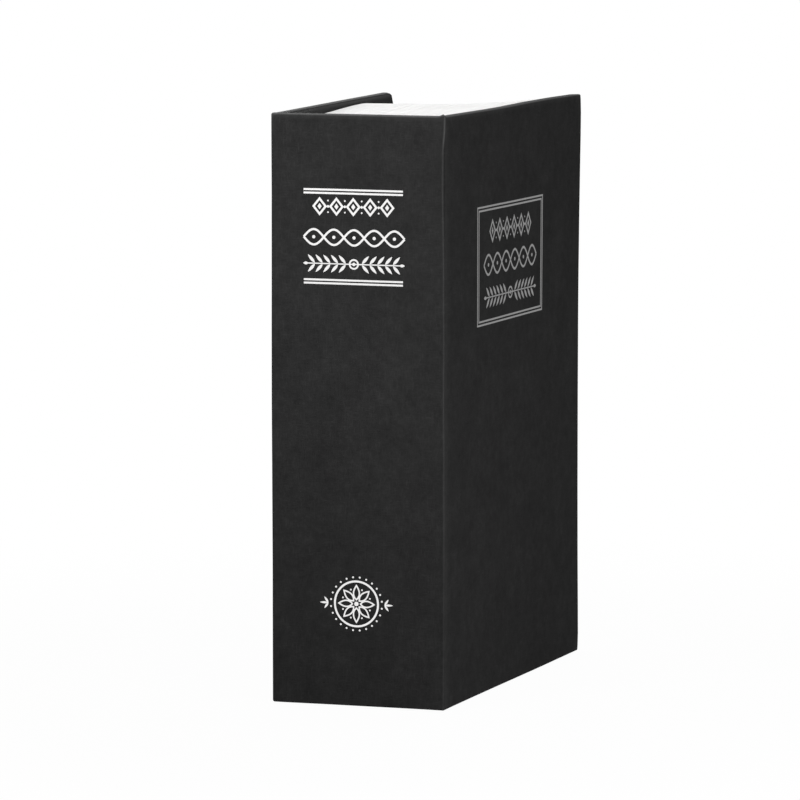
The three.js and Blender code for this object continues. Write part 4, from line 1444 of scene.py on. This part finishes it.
def make_lock_plug():
    """The plug: a rim, a plain face with a dished ring, a keyway with wards, and a square end."""
    outline = keyway_outline()
    turn = math.atan2(outline[0][1], outline[0][0])
    shares = [i / LOCK_SIDES for i in range(LOCK_SIDES)]
    rim = [(PLUG_RIM - inward, FACE_X - down) for inward, down in FACE_STEPS]
    rim += [(PLUG_RIM, FLANGE_X - RIM_HEIGHT), (PLUG_RADIUS, FLANGE_X - RIM_HEIGHT)]
    rim += [(PLUG_RADIUS, BODY_X + PLUG_BEVEL), (PLUG_RADIUS - PLUG_BEVEL, BODY_X)]
    sections = []
    for share, key in zip(shares, along_outline(outline, shares)):
        angle = turn + 2 * math.pi * share
        out = Vector((math.cos(angle), math.sin(angle)))
        drive = min(DRIVE_HALF / max(abs(out.x), abs(out.y)), DRIVE_CORNER)
        bevel = Vector((key.x * KEY_BEVEL_SHARES[0], key.y * KEY_BEVEL_SHARES[1]))
        line = [(key, FACE_X - KEY_DEEP), (key, FACE_X - KEY_BEVEL), (bevel, FACE_X)]
        line += [(key.lerp(out * rim[0][0], part), FACE_X) for part in FACE_SHARES]
        line += [(out * radius, x) for radius, x in rim]
        line += [(out * drive, BODY_X), (out * drive, END_X + DRIVE_END)]
        line.append((out * (drive - DRIVE_BEVEL), END_X))
        sections.append([Vector((x, LOCK_Y + at.x, LOCK_Z + at.y)) for at, x in line])
    obj = add_mesh("plug_body", *loft(list(zip(*sections))), FINISH["lock_nickel"])
    slots = []
    past = PLUG_RADIUS + WAFER_PAST
    for k in range(WAFERS):
        low, high = low_of(f"lock_wafer_{k + 1}"), high_of(f"lock_wafer_{k + 1}")
        slots.append(rounded_room(
            (low.y - WAFER_SIDE, high.y + WAFER_SIDE),
            (LOCK_Z - past, LOCK_Z + past),
            (low.x - SHIFT - WAFER_ROOM[0], high.x - SHIFT + WAFER_ROOM[1]),
        ))
    carve(obj, slots)
    smooth_by_angle(obj, 28)
    finish_piece(obj, "key_plug", "lock_nickel", "lock_plug")


make_lock_body()
make_lock_plug()


# Camera, floor and light
CAMERA_AZIMUTH = 17.459
CAMERA_ELEVATION = 7.022
CAMERA_DISTANCE = 1519
CAMERA_LENS = 218.384
SENSOR = 36
LOOK_RIGHT = -4.575
LOOK_UP = -2.972


def add_aimed(name, data, seat, aim):
    """A camera or a lamp at its seat, turned to its aim."""
    obj = add_object(name, data)
    obj.location = seat
    obj.rotation_mode = "QUATERNION"
    obj.rotation_quaternion = (Vector(aim) - Vector(seat)).to_track_quat("-Z", "Y")
    return obj


def make_camera():
    azimuth, elevation = math.radians(CAMERA_AZIMUTH), math.radians(CAMERA_ELEVATION)
    back = Vector((
        math.sin(azimuth) * math.cos(elevation),
        -math.cos(azimuth) * math.cos(elevation),
        math.sin(elevation),
    ))
    right = Vector((math.cos(azimuth), math.sin(azimuth), 0))
    up = back.cross(right)
    target = Vector((SHIFT, 0, HEIGHT / 2))
    aim = target + right * LOOK_RIGHT + up * LOOK_UP
    seat = target + back * CAMERA_DISTANCE
    data = bpy.data.cameras.new("camera")
    data.lens = CAMERA_LENS
    data.sensor_width = SENSOR
    bpy.context.scene.camera = add_aimed("camera", data, seat * MM, aim * MM)


# Each lamp's seat and aim in metres, its width, its watts and the angle of its beam
LAMPS = {
    "key": ((-0.18, -0.37, 0.24), (0, -0.0575, 0.155), 0.1, 0.245, 66),
    "fill": ((0.35, -0.28, 0.1), (0, 0, 0.09), 0.2, 1.47, 180),
    "top": ((0, 0.6, 1.4), (0, 0, 0.1), 1, 11.9, 180),
}
WORLD_LIGHT = 0.4
FLOOR_GREY = 0.5
FLOOR_REACH = 4000
FLOOR_DEPTH = 0.3

# The floor's own light, near the book and from so far away, in metres
FLOOR_GLOW = (0.975, 1)
FLOOR_GLOW_AT = (0.1, 0.32)


def add_area(name, seat, aim, width, watts, beam):
    data = bpy.data.lights.new(name, "AREA")
    data.shape = "RECTANGLE"
    data.size = width
    data.size_y = width
    data.energy = watts
    data.spread = math.radians(beam)
    add_aimed(name, data, seat, aim)


def seen_directly(tree):
    """1 where the camera, a reflection or glass looks at the background."""
    rays = add_node(tree, "LightPath").outputs
    either = add_math(tree, "MAXIMUM", rays["Is Camera Ray"], rays["Is Glossy Ray"])
    return add_math(tree, "MAXIMUM", either, rays["Is Transmission Ray"])


def finish_with(tree, output, share, first, second):
    """Sends the first shader out, and the second by its share."""
    mix = add_node(tree, "MixShader")
    for socket, value in zip(mix.inputs, (share, first.outputs[0], second.outputs[0])):
        fill(tree, socket, value)
    add_node(tree, output, Surface=mix.outputs[0])


def make_world():
    world = bpy.data.worlds.new("studio")
    bpy.context.scene.world = world
    world.use_nodes = True
    tree = world.node_tree
    tree.nodes.clear()
    light, white = (add_node(tree, "Background", Color=(1, 1, 1, 1), Strength=k) for k in (WORLD_LIGHT, 1))
    finish_with(tree, "OutputWorld", seen_directly(tree), light, white)


def make_floor():
    """A floor that takes soft shadows near the book and is plain white further off."""
    material = bpy.data.materials.new("floor")
    material.use_nodes = True
    tree = material.node_tree
    tree.nodes.clear()
    matte = add_node(tree, "BsdfDiffuse", Color=(FLOOR_GREY, FLOOR_GREY, FLOOR_GREY, 1))
    glow = add_node(tree, "Emission", Strength=1)
    away = add_node(tree, "VectorMath", Vector=add_node(tree, "TexCoord").outputs["Object"])
    away.operation = "LENGTH"
    fade = add_node(tree, "MapRange", Value=away.outputs["Value"])
    fade.interpolation_type = "SMOOTHSTEP"
    for side, k in (("Min", 0), ("Max", 1)):
        fill(tree, fade.inputs[f"From {side}"], FLOOR_GLOW_AT[k])
        fill(tree, fade.inputs[f"To {side}"], FLOOR_GLOW[k])
    share = add_math(tree, "MULTIPLY", seen_directly(tree), fade.outputs[0])
    finish_with(tree, "OutputMaterial", share, matte, glow)
    ends = (-FLOOR_REACH, FLOOR_REACH)
    corners = [(a, b, -FLOOR_DEPTH) for a in ends for b in ends]
    add_mesh("floor", corners, [(0, 2, 3, 1)], material)


make_camera()
bpy.context.scene.view_settings.view_transform = "Standard"
make_world()
for lamp_name, values in LAMPS.items():
    add_area(lamp_name, *values)
make_floor()
